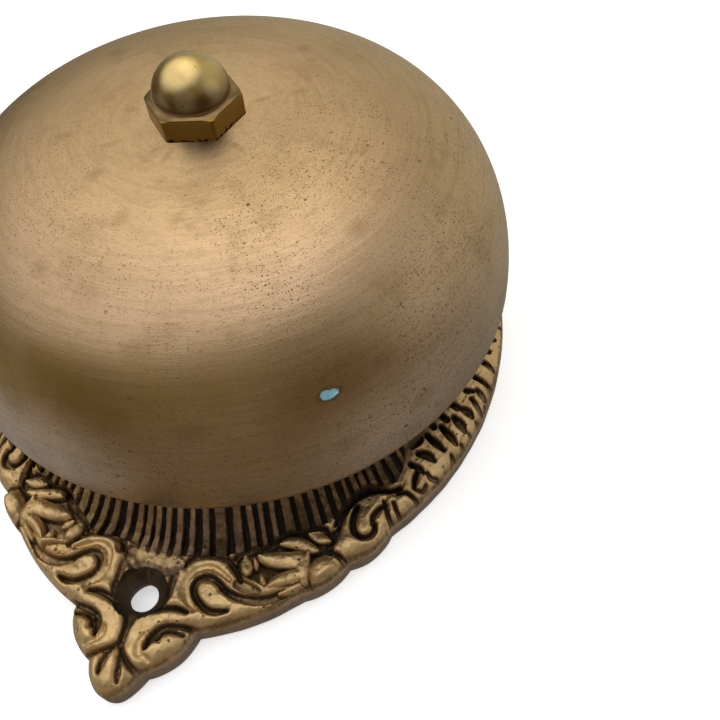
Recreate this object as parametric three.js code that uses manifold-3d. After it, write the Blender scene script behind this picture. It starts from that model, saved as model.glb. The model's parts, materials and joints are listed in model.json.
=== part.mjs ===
// Twist doorbell, the unit that is screwed to the inside of a door.
// A square spindle from the turn key outside enters the socket in the middle of the back plate and
// turns the wheel. The wheel drives a small pinion, and the pinion spins two loose hammers against
// the inside of the gong. Millimetres; the origin is the centre of the back face, +Z runs through
// the gong to the acorn nut, and the two screw holes lie on the Y axis.
import * as THREE from "three";
import { mergeVertices } from "three/addons/utils/BufferGeometryUtils.js";
import Module from "manifold-3d";

const { PI, cos, sin, tan, acos, hypot, atan2, max, min } = Math;

// ---- Driving dimensions ----
const CLEARANCE = 0.3; // between pieces that touch

// Gong: a flattened dome whose lip curls inwards
const GONG_RADIUS = 50;
const GONG_WALL = 2.4;
const GONG_EQUATOR_Z = 23.2;
const GONG_TOP_Z = 55.2;
const GONG_LIP_RADIUS = 3.2;
const GONG_SIDE_POWER = 0.4975;
const GONG_CROWN_POWER = 0.957;
const STUD_RADIUS = 3.9; // M8
const STUD_HOLE_RADIUS = 4.3;

// Acorn nut
const NUT_CORNER_RADIUS = 7.6;
const NUT_HEX_HEIGHT = 3.9;
const NUT_HEX_TURN = 0.22;
const NUT_DOME_RADIUS = 6.05;
const NUT_BORE_DEPTH = 7;

// Back plate outline: an oval body that runs into a lobed point at each end
const PLATE_HALF_WIDTH = 50.7;
const PLATE_OVAL_HALF_LENGTH = 56.2;
const PLATE_HALF_LENGTH = 74.2;
const PLATE_EDGE_HEIGHT = 5;
const PLATE_EDGE_BEVEL = 1.2;
const TIP_NOTCH = [4.5, 69.6];
// Notches between lobes from the tip to the oval, and how far each lobe bulges past its chord
const LOBES = [
  { end: [10.4, 61.9], bulge: 1.3 },
  { end: [25.5, 52.3], bulge: 1.0 },
  { end: [31.7, 45.5], bulge: 0.9 },
  { end: [37.3, 38.06], bulge: 1.1 },
];
const FLANK = [
  [48.4, 4.6],
  [45, 10.5],
  [41, 14],
]; // radius and height of the fluted rise under the gong
const HOLLOW = [
  [44, 3],
  [41.5, 7.5],
  [37.5, 11],
]; // the same for the hollow back
const PLATEAU_Z = 14;
const PLATEAU_UNDERSIDE_Z = 11;
const SCREW_HOLE_Y = 58.2;
const SCREW_HOLE_RADIUS = 2.4;
const SCREW_HEAD_RADIUS = 4.3;
const SCREW_SEAT_Z = 3.1;
const SCREW_RELIEF_RADIUS = 3.6; // cored from behind, so that the bore is short
const SCREW_RELIEF_Z = 2;

// Gear train: 0.8 module, 20 degree teeth
const MODULE = 0.8;
const PRESSURE_ANGLE = PI / 9;
const WHEEL_TEETH = 60;
const PINION_TEETH = 12;
const WHEEL_ADDENDUM = 0.6; // stubbed, so that the small pinion is not undercut
const BACKLASH = 0.26;
const WHEEL_Z = [17.2, 20.2];
const STRIKER_X = (MODULE * (WHEEL_TEETH + PINION_TEETH)) / 2;

// Drive arbor, its bush in the plate, the washer under the wheel and the clip over it
const SOCKET_SIZE = 6.4; // across flats, for a 6 mm square spindle
const SOCKET_DEPTH = 10;
const ARBOR_RADIUS = 6.5;
const ARBOR_FLANGE_RADIUS = 8;
const ARBOR_SQUARE = 9;
const ARBOR_BOTTOM_Z = 7;
const BUSH_BODY_RADIUS = 8.6;
const BUSH_FLANGE_RADIUS = 11;
const BUSH_BORE_RADIUS = ARBOR_RADIUS + CLEARANCE;
const BUSH_BOTTOM_Z = 9;
const BUSH_FLANGE_Z = [PLATEAU_Z + CLEARANCE, 15.8];
const THRUST_WASHER_RADIUS = 10.5;
const THRUST_WASHER_Z = [16.1, 16.9];
const WHEEL_HUB_RADIUS = 8.6;
const WHEEL_WINDOW_RADII = [10, 19.6];
const WHEEL_SPOKES = 5;
const WHEEL_SPOKE_WIDTH = 4;
const CLIP_RADIUS = 6.8;
const CLIP_MOUTH_WIDTH = 5.4;
const CLIP_NECK_RADIUS = 3.6;
const CLIP_COLLAR_RADIUS = 4.4;
const CLIP_Z = [20.6, 21.4];
const COLLAR_Z = [CLIP_Z[1] + CLEARANCE, 22.7];

// Striker
const STRIKER_ARBOR_RADIUS = 2;
const STRIKER_ARBOR_Z = [12, 39];
const PIVOT_BODY_RADIUS = 3.7;
const PIVOT_FLANGE_RADIUS = 5.2;
const PIVOT_BORE_RADIUS = STRIKER_ARBOR_RADIUS + CLEARANCE;
const LOWER_PIVOT_Z = [10.4, 15.2];
const LOWER_PIVOT_FLOOR_Z = 11.7;
const UPPER_PIVOT_Z = [33.8, 38.4];
const PINION_Z = [16.8, 20.6];
const PINION_HUB_RADIUS = 3.4;
const PIN_OFFSET = 11;
const PIN_RADIUS = 1.4;
const RIVET_RADIUS = 2.3;
const RIVET_HEIGHT = 0.6;
const HAMMER_Z = [26, 31];
const HAMMER_HEAD_RADIUS = 4.4;
const HAMMER_HEAD_OFFSET = 2.1;
const HAMMER_EYE_RADIUS = 3;
const CHEEK_END_RADIUS = 3.4;
const CHEEK_BOSS_RADIUS = 5;
const SPACER_RADIUS = 3.6;
const LOWER_CHEEK_Z = [24, 25.4];
const UPPER_CHEEK_Z = [31.6, 33];

// Bridge on three pillars
const PILLAR_CIRCLE_RADIUS = 33;
const PILLAR_RADIUS = 3.5;
const PILLAR_HOLE_DEPTH = 5.7;
const PILLAR_ANGLES = [PI / 2, PI, (3 * PI) / 2];
const BRIDGE_Z = [35, 38];
const BRIDGE_HUB_RADIUS = 11;
const PILLAR_ARM_RADIUS = 4.6;
const STRIKER_ARM_RADIUS = 5.4;
const POST_RADIUS = 6;
const POST_Z = [30.6, 61.6];
const POST_NUT_CORNER_RADIUS = 7.5;
const POST_NUT_BOTTOM_Z = 31.2;
const WASHER_RADIUS = 10;
const M3_RADIUS = 1.5;
const M3_HOLE_RADIUS = 1.8;
const SUNK_HEAD_RADIUS = 3;
const SUNK_SCREW_Z = [11, 12.5, 19.5]; // head, foot of the head, end
const SUNK_SEAT_Z = [10.5, 12.7];
const CHEESE_HEAD_RADIUS = 2.8;
const CHEESE_HEAD_HEIGHT = 1.9;
const CHEESE_SCREW_END_Z = 29.5;
const SLOT = 0.8; // width and depth

const FINE = 48; // segments round the gong and the plate's rise
const ROUND = 32; // segments round middle-sized pieces
const SMALL = 16; // segments round pins and screws

// ---- Materials ----
const metal = (color, roughness) =>
  new THREE.MeshStandardMaterial({ color, roughness, metalness: 1, flatShading: true });
const GONG_BRASS = metal(0xa5875a, 0.38);
const CAST_BRASS = metal(0x9a7a48, 0.5);
const POLISHED_BRASS = metal(0xc29a5c, 0.25);
const TURNED_BRASS = metal(0xb8934f, 0.35);
const STEEL = metal(0x8c8f92, 0.4);
const LEATHER = new THREE.MeshStandardMaterial({ color: 0x4a3222, roughness: 0.85 });

// ---- Solids: manifold-3d only joins and cuts what three.js shapes ----
const wasm = await Module();
wasm.setup();

function toSolid(geometry) {
  const bare = geometry.clone();
  bare.deleteAttribute("normal");
  bare.deleteAttribute("uv");
  const merged = mergeVertices(bare, 1e-4);
  const triVerts = [];
  const index = merged.index.array;
  for (let i = 0; i < index.length; i += 3) {
    const [a, b, c] = index.slice(i, i + 3);
    if (a !== b && b !== c && c !== a) triVerts.push(a, b, c); // none that collapse on the axis
  }
  return new wasm.Manifold(
    new wasm.Mesh({
      numProp: 3,
      vertProperties: new Float32Array(merged.attributes.position.array),
      triVerts: new Uint32Array(triVerts),
    }),
  );
}

function toGeometry(solid) {
  const mesh = solid.getMesh();
  const geometry = new THREE.BufferGeometry();
  const position = new THREE.BufferAttribute(new Float32Array(mesh.vertProperties), 3);
  geometry.setAttribute("position", position);
  geometry.setIndex(new THREE.BufferAttribute(new Uint32Array(mesh.triVerts), 1));
  return geometry;
}

const join = (...geometries) =>
  toGeometry(geometries.map(toSolid).reduce((all, next) => all.add(next)));

const cut = (geometry, ...tools) =>
  toGeometry(tools.map(toSolid).reduce((left, tool) => left.subtract(tool), toSolid(geometry)));

// ---- Shapes about the Z axis ----
// A closed profile of [radius, height] points, counterclockwise, turned about Z.
function turned(profile, segments = ROUND) {
  const points = [...profile, profile[0]].map(([r, z]) => new THREE.Vector2(r, z));
  return new THREE.LatheGeometry(points, segments).rotateX(PI / 2);
}

const ring = (outer, inner, [z0, z1], segments = ROUND) =>
  turned([[inner, z0], [outer, z0], [outer, z1], [inner, z1]], segments);

const disc = (radius, [z0, z1], segments = ROUND) =>
  turned([[0, z0], [radius, z0], [radius, z1], [0, z1]], segments);

const cone = (radius0, radius1, [z0, z1], segments = ROUND) =>
  turned([[0, z0], [radius0, z0], [radius1, z1], [0, z1]], segments);

const prism = (shape, [z0, z1], curveSegments = 10) =>
  new THREE.ExtrudeGeometry(shape, { depth: z1 - z0, bevelEnabled: false, curveSegments })
    .translate(0, 0, z0);

const block = ([sx, sy, sz], [x, y, z]) => new THREE.BoxGeometry(sx, sy, sz).translate(x, y, z);

function hexagon(cornerRadius, turn, z) {
  const corners = [0, 1, 2, 3, 4, 5].map((k) => turn + (k * PI) / 3);
  const points = corners.map((a) => new THREE.Vector2(cornerRadius * cos(a), cornerRadius * sin(a)));
  return prism(new THREE.Shape(points), z);
}

// A bar with round ends, along X.
function stadium(halfLength, radius) {
  const shape = new THREE.Shape();
  shape.absarc(halfLength, 0, radius, -PI / 2, PI / 2);
  shape.absarc(-halfLength, 0, radius, PI / 2, (3 * PI) / 2);
  return shape;
}

// ---- Back plate ----
// A quarter of the outline from the tip to the widest point, as a polyline.
function quarterOutline() {
  const path = new THREE.Path();
  path.moveTo(0, PLATE_HALF_LENGTH);
  path.bezierCurveTo(1.9, PLATE_HALF_LENGTH, 3.6, 72, ...TIP_NOTCH);
  let [x, y] = TIP_NOTCH;
  for (const { end, bulge } of LOBES) {
    const [dx, dy] = [end[0] - x, end[1] - y];
    const length = hypot(dx, dy);
    const control = [x + dx / 2 - (2 * bulge * dy) / length, y + dy / 2 + (2 * bulge * dx) / length];
    path.quadraticCurveTo(...control, ...end);
    [x, y] = end;
  }
  const start = atan2(y / PLATE_OVAL_HALF_LENGTH, x / PLATE_HALF_WIDTH);
  path.absellipse(0, 0, PLATE_HALF_WIDTH, PLATE_OVAL_HALF_LENGTH, start, 0, true);
  return path.getPoints(7);
}

function plateOutline() {
  const quarter = quarterOutline();
  const upperRight = quarter.slice(0, -1);
  const lowerRight = quarter.map((p) => new THREE.Vector2(p.x, -p.y)).reverse();
  const right = [...upperRight, ...lowerRight.slice(0, -1)];
  const left = right.map((p) => new THREE.Vector2(-p.x, -p.y));
  return new THREE.Shape([...right, ...left]);
}

// Raised scrollwork of one quarter, for positive X and Y: middle lines and widths.
const RIDGE_AXIS_Z = 5.4;
const SCROLLS = [
  { width: 3, line: [[24.8, 51.2], [20, 55.4], [14.5, 57.8], [9, 57.4], [5.6, 54.8]] },
  { width: 2.8, line: [[5.6, 55], [5.6, 52.6], [8, 50.9], [11, 51], [13.4, 52.4]] },
  { width: 2.8, line: [[10, 60.4], [5, 61], [2.2, 63.4], [2, 66], [4.2, 68], [7.4, 66.4]] },
  { width: 2.8, line: [[24, 47.6], [17, 50.4]] },
  { width: 3, line: [[30.4, 37.4], [30.4, 41.6], [33.2, 43.6], [35.4, 41], [34.8, 37.6]] },
];
const BOSSES = [
  { at: [28.2, 47.5], radius: 3.3, top: 7.6 },
  { at: [35.8, 35.2], radius: 2.8, top: 7.2 },
];
const TIP_BOSS = { at: [0, 70.4], radius: 3.4, top: 7.2 };
const BAND = { width: 6.6, axisZ: 4.5, radiusX: 46, radiusY: 50.6, from: 0.72 };

function ridge(width, line, axisZ, stepsPerSpan) {
  const sides = 6;
  const section = new THREE.EllipseCurve(0, 0, width / 2, width / 2).getPoints(sides).slice(0, sides);
  const path = new THREE.CatmullRomCurve3(line.map(([x, y]) => new THREE.Vector3(x, y, axisZ)));
  const steps = Math.ceil(stepsPerSpan * (line.length - 1));
  return new THREE.ExtrudeGeometry(new THREE.Shape(section), { steps, extrudePath: path });
}

function boss({ at: [x, y], radius, top }) {
  const height = top - PLATE_EDGE_HEIGHT + 1;
  return new THREE.SphereGeometry(1, 8, 5)
    .rotateX(PI / 2)
    .scale(radius, radius, height)
    .translate(x, y, top - height);
}

function band(side) {
  const line = [];
  const spans = 10;
  for (let i = 0; i <= spans; i++) {
    const angle = BAND.from * ((2 * i) / spans - 1);
    line.push([side * BAND.radiusX * cos(angle), side * BAND.radiusY * sin(angle)]);
  }
  return ridge(BAND.width, line, BAND.axisZ, 2);
}

const QUARTERS = [[1, 1], [-1, 1], [-1, -1], [1, -1]];

function ornament() {
  const flip = ([x, y], [sx, sy]) => [x * sx, y * sy];
  const scrolls = QUARTERS.flatMap((q) =>
    SCROLLS.map(({ width, line }) => ridge(width, line.map((p) => flip(p, q)), RIDGE_AXIS_Z, 1.5)),
  );
  const bosses = QUARTERS.flatMap((q) => BOSSES.map((b) => boss({ ...b, at: flip(b.at, q) })));
  const tips = [1, -1].map((side) => boss({ ...TIP_BOSS, at: flip(TIP_BOSS.at, [1, side]) }));
  return [...scrolls, ...bosses, ...tips, band(1), band(-1)];
}

function screwHole(side) {
  const sink = turned(
    [
      [0, -1],
      [SCREW_RELIEF_RADIUS, -1],
      [SCREW_RELIEF_RADIUS, SCREW_RELIEF_Z],
      [SCREW_HOLE_RADIUS, SCREW_RELIEF_Z],
      [SCREW_HOLE_RADIUS, SCREW_SEAT_Z],
      [SCREW_HEAD_RADIUS, PLATE_EDGE_HEIGHT],
      [SCREW_HEAD_RADIUS, PLATEAU_Z],
      [0, PLATEAU_Z],
    ],
    SMALL,
  );
  return sink.translate(0, side * SCREW_HOLE_Y, 0);
}

const atPillar = (geometry, angle) =>
  geometry.clone().translate(PILLAR_CIRCLE_RADIUS * cos(angle), PILLAR_CIRCLE_RADIUS * sin(angle), 0);

function backPlate() {
  const edge = new THREE.ExtrudeGeometry(plateOutline(), {
    depth: PLATE_EDGE_HEIGHT - PLATE_EDGE_BEVEL,
    bevelSize: PLATE_EDGE_BEVEL,
    bevelThickness: PLATE_EDGE_BEVEL,
    bevelOffset: -PLATE_EDGE_BEVEL,
    bevelSegments: 2,
  });
  const rise = turned([[0, 1], [FLANK[0][0], 1], ...FLANK, [0, PLATEAU_Z]], FINE);
  const hollow = turned([[0, -1], [HOLLOW[0][0], -1], ...HOLLOW, [0, PLATEAU_UNDERSIDE_Z]], FINE);
  const solid = join(edge, rise, ...ornament());
  const belowDoorFace = block([120, 160, 10], [0, 0, -5]);
  const through = [-1, PLATEAU_Z + 1];
  const pillarHole = disc(M3_HOLE_RADIUS, through, SMALL);
  const pillarSeat = cone(M3_HOLE_RADIUS + 2, M3_HOLE_RADIUS, SUNK_SEAT_Z, SMALL);
  return cut(
    solid,
    belowDoorFace,
    hollow,
    screwHole(1),
    screwHole(-1),
    disc(BUSH_BODY_RADIUS + CLEARANCE, through),
    disc(PIVOT_BODY_RADIUS + CLEARANCE, through, SMALL).translate(STRIKER_X, 0, 0),
    ...PILLAR_ANGLES.flatMap((a) => [atPillar(pillarHole, a), atPillar(pillarSeat, a)]),
  );
}

// ---- Drive: bush, arbor, washer, wheel and clip ----
const keyBush = () =>
  turned([
    [BUSH_BORE_RADIUS, BUSH_BOTTOM_Z],
    [BUSH_BODY_RADIUS, BUSH_BOTTOM_Z],
    [BUSH_BODY_RADIUS, BUSH_FLANGE_Z[0]],
    [BUSH_FLANGE_RADIUS, BUSH_FLANGE_Z[0]],
    [BUSH_FLANGE_RADIUS, BUSH_FLANGE_Z[1]],
    [BUSH_BORE_RADIUS, BUSH_FLANGE_Z[1]],
  ]);

function driveArbor() {
  const [seat, shoulder] = [THRUST_WASHER_Z[1], BUSH_BOTTOM_Z - CLEARANCE];
  const journal = turned([
    [0, ARBOR_BOTTOM_Z],
    [ARBOR_FLANGE_RADIUS, ARBOR_BOTTOM_Z],
    [ARBOR_FLANGE_RADIUS, shoulder],
    [ARBOR_RADIUS, shoulder],
    [ARBOR_RADIUS, seat],
    [0, seat],
  ]);
  const [low, high] = [THRUST_WASHER_Z[0], WHEEL_Z[1] + 0.1];
  const square = block([ARBOR_SQUARE, ARBOR_SQUARE, high - low], [0, 0, (low + high) / 2]);
  const neck = disc(CLIP_NECK_RADIUS, [WHEEL_Z[0], COLLAR_Z[0] + CLEARANCE]);
  const collar = disc(CLIP_COLLAR_RADIUS, COLLAR_Z);
  const socketMiddle = ARBOR_BOTTOM_Z + (SOCKET_DEPTH - 1) / 2;
  const socket = block([SOCKET_SIZE, SOCKET_SIZE, SOCKET_DEPTH + 1], [0, 0, socketMiddle]);
  return cut(join(journal, square, neck, collar), socket);
}

// One tooth after another: root, rising involute, tip, falling involute.
function gearOutline(teeth, addendum, flankSteps) {
  const pitchRadius = (MODULE * teeth) / 2;
  const baseRadius = pitchRadius * cos(PRESSURE_ANGLE);
  const rootRadius = pitchRadius - 1.25 * MODULE;
  const tipRadius = pitchRadius + addendum;
  const involute = (a) => tan(a) - a;
  const pitchHalf = PI / (2 * teeth) - BACKLASH / (2 * pitchRadius);
  const halfAngle = (r) =>
    pitchHalf + involute(PRESSURE_ANGLE) - involute(acos(min(1, baseRadius / r)));
  const start = max(baseRadius, rootRadius);
  const radii = [rootRadius];
  for (let i = 0; i <= flankSteps; i++) radii.push(start + ((tipRadius - start) * i) / flankSteps);
  const points = [];
  for (let tooth = 0; tooth < teeth; tooth++) {
    const middle = (2 * PI * tooth) / teeth;
    const rising = radii.map((r) => [r, middle - halfAngle(max(r, start))]);
    const falling = radii.map((r) => [r, middle + halfAngle(max(r, start))]).reverse();
    for (const [r, a] of [...rising, ...falling]) points.push(new THREE.Vector2(r * cos(a), r * sin(a)));
  }
  return new THREE.Shape(points);
}

function mainWheel() {
  const outline = gearOutline(WHEEL_TEETH, WHEEL_ADDENDUM, 1);
  const [inner, outer] = WHEEL_WINDOW_RADII;
  const halfSpoke = WHEEL_SPOKE_WIDTH / 2;
  for (let k = 0; k < WHEEL_SPOKES; k++) {
    const [from, to] = [(2 * PI * k) / WHEEL_SPOKES, (2 * PI * (k + 1)) / WHEEL_SPOKES];
    const window = new THREE.Path();
    window.absarc(0, 0, outer, from + halfSpoke / outer, to - halfSpoke / outer, false);
    window.absarc(0, 0, inner, to - halfSpoke / inner, from + halfSpoke / inner, true);
    outline.holes.push(window);
  }
  const hub = disc(WHEEL_HUB_RADIUS, WHEEL_Z);
  const hole = ARBOR_SQUARE + 2 * CLEARANCE;
  return cut(join(prism(outline, WHEEL_Z, 5), hub), block([hole, hole, hole], [0, 0, WHEEL_Z[0]]));
}

function arborClip() {
  const reach = CLIP_RADIUS + 1;
  const mouth = block([CLIP_MOUTH_WIDTH, reach, reach], [0, -reach / 2, CLIP_Z[0]]);
  return cut(ring(CLIP_RADIUS, CLIP_NECK_RADIUS + CLEARANCE, CLIP_Z), mouth);
}

// ---- Striker: arbor, pinion, two cheeks, spacer, pins and hammers ----
// A blind bush: the arbor's end stands on its floor.
const lowerPivot = () =>
  turned(
    [
      [0, LOWER_PIVOT_Z[0]],
      [PIVOT_BODY_RADIUS, LOWER_PIVOT_Z[0]],
      [PIVOT_BODY_RADIUS, PLATEAU_Z + CLEARANCE],
      [PIVOT_FLANGE_RADIUS, PLATEAU_Z + CLEARANCE],
      [PIVOT_FLANGE_RADIUS, LOWER_PIVOT_Z[1]],
      [PIVOT_BORE_RADIUS, LOWER_PIVOT_Z[1]],
      [PIVOT_BORE_RADIUS, LOWER_PIVOT_FLOOR_Z],
      [0, LOWER_PIVOT_FLOOR_Z],
    ],
    SMALL,
  );

const upperPivot = () =>
  turned(
    [
      [PIVOT_BORE_RADIUS, UPPER_PIVOT_Z[0]],
      [PIVOT_FLANGE_RADIUS, UPPER_PIVOT_Z[0]],
      [PIVOT_FLANGE_RADIUS, BRIDGE_Z[0] - CLEARANCE],
      [PIVOT_BODY_RADIUS, BRIDGE_Z[0] - CLEARANCE],
      [PIVOT_BODY_RADIUS, UPPER_PIVOT_Z[1]],
      [PIVOT_BORE_RADIUS, UPPER_PIVOT_Z[1]],
    ],
    SMALL,
  );

function strikerArbor() {
  const [low, high] = STRIKER_ARBOR_Z;
  const chamfer = 0.4;
  return turned(
    [
      [0, low],
      [STRIKER_ARBOR_RADIUS - chamfer, low],
      [STRIKER_ARBOR_RADIUS, low + chamfer],
      [STRIKER_ARBOR_RADIUS, high - chamfer],
      [STRIKER_ARBOR_RADIUS - chamfer, high],
      [0, high],
    ],
    SMALL,
  );
}

// A gap of the pinion faces the wheel, whose first tooth lies on the X axis.
function pinion() {
  const teeth = prism(gearOutline(PINION_TEETH, MODULE, 2), PINION_Z).rotateZ(PI / PINION_TEETH);
  const top = LOWER_CHEEK_Z[0] - CLEARANCE;
  const hub = disc(PINION_HUB_RADIUS, [(PINION_Z[0] + PINION_Z[1]) / 2, top], SMALL);
  return cut(join(teeth, hub), disc(PIVOT_BORE_RADIUS, [PINION_Z[0] - 1, top + 1], SMALL));
}

// The cheeks lie along Y at rest, so their pins are above and below the arbor.
function cheek(z) {
  const bar = prism(stadium(PIN_OFFSET, CHEEK_END_RADIUS), z, 8);
  const through = [z[0] - 1, z[1] + 1];
  const pinHole = disc(PIN_RADIUS + CLEARANCE, through, SMALL);
  return cut(
    join(bar, disc(CHEEK_BOSS_RADIUS, z, SMALL)),
    disc(PIVOT_BORE_RADIUS, through, SMALL),
    pinHole.clone().translate(PIN_OFFSET, 0, 0),
    pinHole.clone().translate(-PIN_OFFSET, 0, 0),
  ).rotateZ(PI / 2);
}

const SPACER_Z = [LOWER_CHEEK_Z[1] + CLEARANCE, UPPER_CHEEK_Z[0] - CLEARANCE];

const spacer = () => ring(SPACER_RADIUS, PIVOT_BORE_RADIUS, SPACER_Z, SMALL);

// Riveted at both ends, outside the cheeks.
function hammerPin() {
  const [low, high] = [LOWER_CHEEK_Z[0] - CLEARANCE, UPPER_CHEEK_Z[1] + CLEARANCE];
  const crown = RIVET_RADIUS - 0.2;
  return turned(
    [
      [0, low - RIVET_HEIGHT],
      [crown, low - RIVET_HEIGHT],
      [RIVET_RADIUS, low],
      [PIN_RADIUS, low],
      [PIN_RADIUS, high],
      [RIVET_RADIUS, high],
      [crown, high + RIVET_HEIGHT],
      [0, high + RIVET_HEIGHT],
    ],
    SMALL,
  );
}

// A pear-shaped weight: the convex outline of its eye and its heavier head, which points along +X.
function hammer() {
  const tangent = acos((HAMMER_EYE_RADIUS - HAMMER_HEAD_RADIUS) / HAMMER_HEAD_OFFSET);
  const outline = new THREE.Shape();
  outline.absarc(HAMMER_HEAD_OFFSET, 0, HAMMER_HEAD_RADIUS, -tangent, tangent);
  outline.absarc(0, 0, HAMMER_EYE_RADIUS, tangent, 2 * PI - tangent);
  const weight = prism(outline, HAMMER_Z, 14);
  return cut(weight, disc(PIN_RADIUS + CLEARANCE, [HAMMER_Z[0] - 1, HAMMER_Z[1] + 1], SMALL));
}

// ---- Frame over the gears: pillars, bridge, screws ----
const PILLAR_Z = [PLATEAU_Z + CLEARANCE, BRIDGE_Z[0] - CLEARANCE];

const pillar = () =>
  cut(
    disc(PILLAR_RADIUS, PILLAR_Z, SMALL),
    disc(M3_HOLE_RADIUS, [PILLAR_Z[0] - 1, PILLAR_Z[0] + PILLAR_HOLE_DEPTH], SMALL),
    disc(M3_HOLE_RADIUS, [PILLAR_Z[1] - PILLAR_HOLE_DEPTH, PILLAR_Z[1] + 1], SMALL),
  );

// Countersunk from the hollow back.
function pillarScrew() {
  const [head, neck, end] = SUNK_SCREW_Z;
  return turned([[0, head], [SUNK_HEAD_RADIUS, head], [M3_RADIUS, neck], [M3_RADIUS, end], [0, end]], SMALL);
}

// Cheese head with a slot.
function bridgeScrew() {
  const seat = BRIDGE_Z[1] + CLEARANCE;
  const top = seat + CHEESE_HEAD_HEIGHT;
  const body = turned(
    [
      [0, CHEESE_SCREW_END_Z],
      [M3_RADIUS, CHEESE_SCREW_END_Z],
      [M3_RADIUS, seat],
      [CHEESE_HEAD_RADIUS, seat],
      [CHEESE_HEAD_RADIUS, top],
      [0, top],
    ],
    SMALL,
  );
  return cut(body, block([3 * CHEESE_HEAD_RADIUS, SLOT, 2 * SLOT], [0, 0, top]));
}

function bridge() {
  const arm = (length, radius, angle) =>
    prism(stadium(length / 2, radius), BRIDGE_Z, 8).translate(length / 2, 0, 0).rotateZ(angle);
  const pillarArms = PILLAR_ANGLES.map((a) => arm(PILLAR_CIRCLE_RADIUS, PILLAR_ARM_RADIUS, a));
  const strikerArm = arm(STRIKER_X, STRIKER_ARM_RADIUS, 0);
  const through = [BRIDGE_Z[0] - 1, BRIDGE_Z[1] + 1];
  return cut(
    join(disc(BRIDGE_HUB_RADIUS, BRIDGE_Z), strikerArm, ...pillarArms),
    disc(STUD_HOLE_RADIUS, through, SMALL),
    disc(PIVOT_BODY_RADIUS + CLEARANCE, through, SMALL).translate(STRIKER_X, 0, 0),
    ...PILLAR_ANGLES.map((a) => atPillar(disc(M3_HOLE_RADIUS, through, SMALL), a)),
  );
}

// ---- Gong and what holds it ----
const WASHER_Z = [51.7, GONG_TOP_Z - GONG_WALL - CLEARANCE];
const NUT_SEAT_Z = GONG_TOP_Z + CLEARANCE;

// A shoulder carries the washer and gong; a threaded end runs down through the bridge.
const gongPost = () =>
  turned(
    [
      [0, POST_Z[0]],
      [STUD_RADIUS, POST_Z[0]],
      [STUD_RADIUS, BRIDGE_Z[1] + CLEARANCE],
      [POST_RADIUS, BRIDGE_Z[1] + CLEARANCE],
      [POST_RADIUS, WASHER_Z[0] - CLEARANCE],
      [STUD_RADIUS, WASHER_Z[0] - CLEARANCE],
      [STUD_RADIUS, POST_Z[1]],
      [0, POST_Z[1]],
    ],
    SMALL,
  );

const postNut = () =>
  cut(
    hexagon(POST_NUT_CORNER_RADIUS, 0, [POST_NUT_BOTTOM_Z, BRIDGE_Z[0] - CLEARANCE]),
    disc(STUD_HOLE_RADIUS, [POST_NUT_BOTTOM_Z - 1, BRIDGE_Z[0]], SMALL),
  );

// Outline of the dome from its equator to the stud hole, for the outer or the inner skin.
function domeProfile(radius, rise, steps) {
  const points = [];
  const last = acos((STUD_HOLE_RADIUS / radius) ** (1 / GONG_SIDE_POWER));
  for (let i = 0; i <= steps; i++) {
    const a = (last * i) / steps;
    points.push([
      radius * cos(a) ** GONG_SIDE_POWER,
      GONG_EQUATOR_Z + rise * sin(a) ** GONG_CROWN_POWER,
    ]);
  }
  points[steps][0] = STUD_HOLE_RADIUS;
  return points;
}

function gong() {
  const rise = GONG_TOP_Z - GONG_EQUATOR_Z;
  const lip = [];
  const lipSteps = 4;
  for (let i = 0; i < lipSteps; i++) {
    const a = (-PI / 2) * (1 - i / lipSteps);
    lip.push([
      GONG_RADIUS + GONG_LIP_RADIUS * (cos(a) - 1),
      GONG_EQUATOR_Z + GONG_LIP_RADIUS * sin(a),
    ]);
  }
  const lipInside = [GONG_RADIUS - GONG_LIP_RADIUS, GONG_EQUATOR_Z - GONG_LIP_RADIUS + GONG_WALL];
  const outer = domeProfile(GONG_RADIUS, rise, 12);
  const inner = domeProfile(GONG_RADIUS - GONG_WALL, rise - GONG_WALL, 9).reverse();
  return turned([...lip, ...outer, ...inner, lipInside], FINE);
}

function acornNut() {
  const hexTop = NUT_SEAT_Z + NUT_HEX_HEIGHT;
  const profile = [[0, hexTop - 1], [NUT_DOME_RADIUS, hexTop - 1]];
  const domeSteps = 6;
  for (let i = 0; i <= domeSteps; i++) {
    const a = (i * PI) / 2 / domeSteps;
    profile.push([NUT_DOME_RADIUS * cos(a), hexTop + NUT_DOME_RADIUS * sin(a)]);
  }
  profile[profile.length - 1][0] = 0;
  const hex = hexagon(NUT_CORNER_RADIUS, NUT_HEX_TURN, [NUT_SEAT_Z, hexTop]);
  const bore = disc(STUD_HOLE_RADIUS, [NUT_SEAT_Z - 1, NUT_SEAT_Z + NUT_BORE_DEPTH], SMALL);
  return cut(join(hex, turned(profile, SMALL)), bore);
}

// ---- Assembly ----
function named(name, geometry, material, [x, y] = [0, 0], turn = 0) {
  const mesh = new THREE.Mesh(geometry, material);
  mesh.name = name;
  mesh.position.set(x, y, 0);
  mesh.rotation.z = turn;
  return mesh;
}

const doorbell = new THREE.Group();

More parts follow.
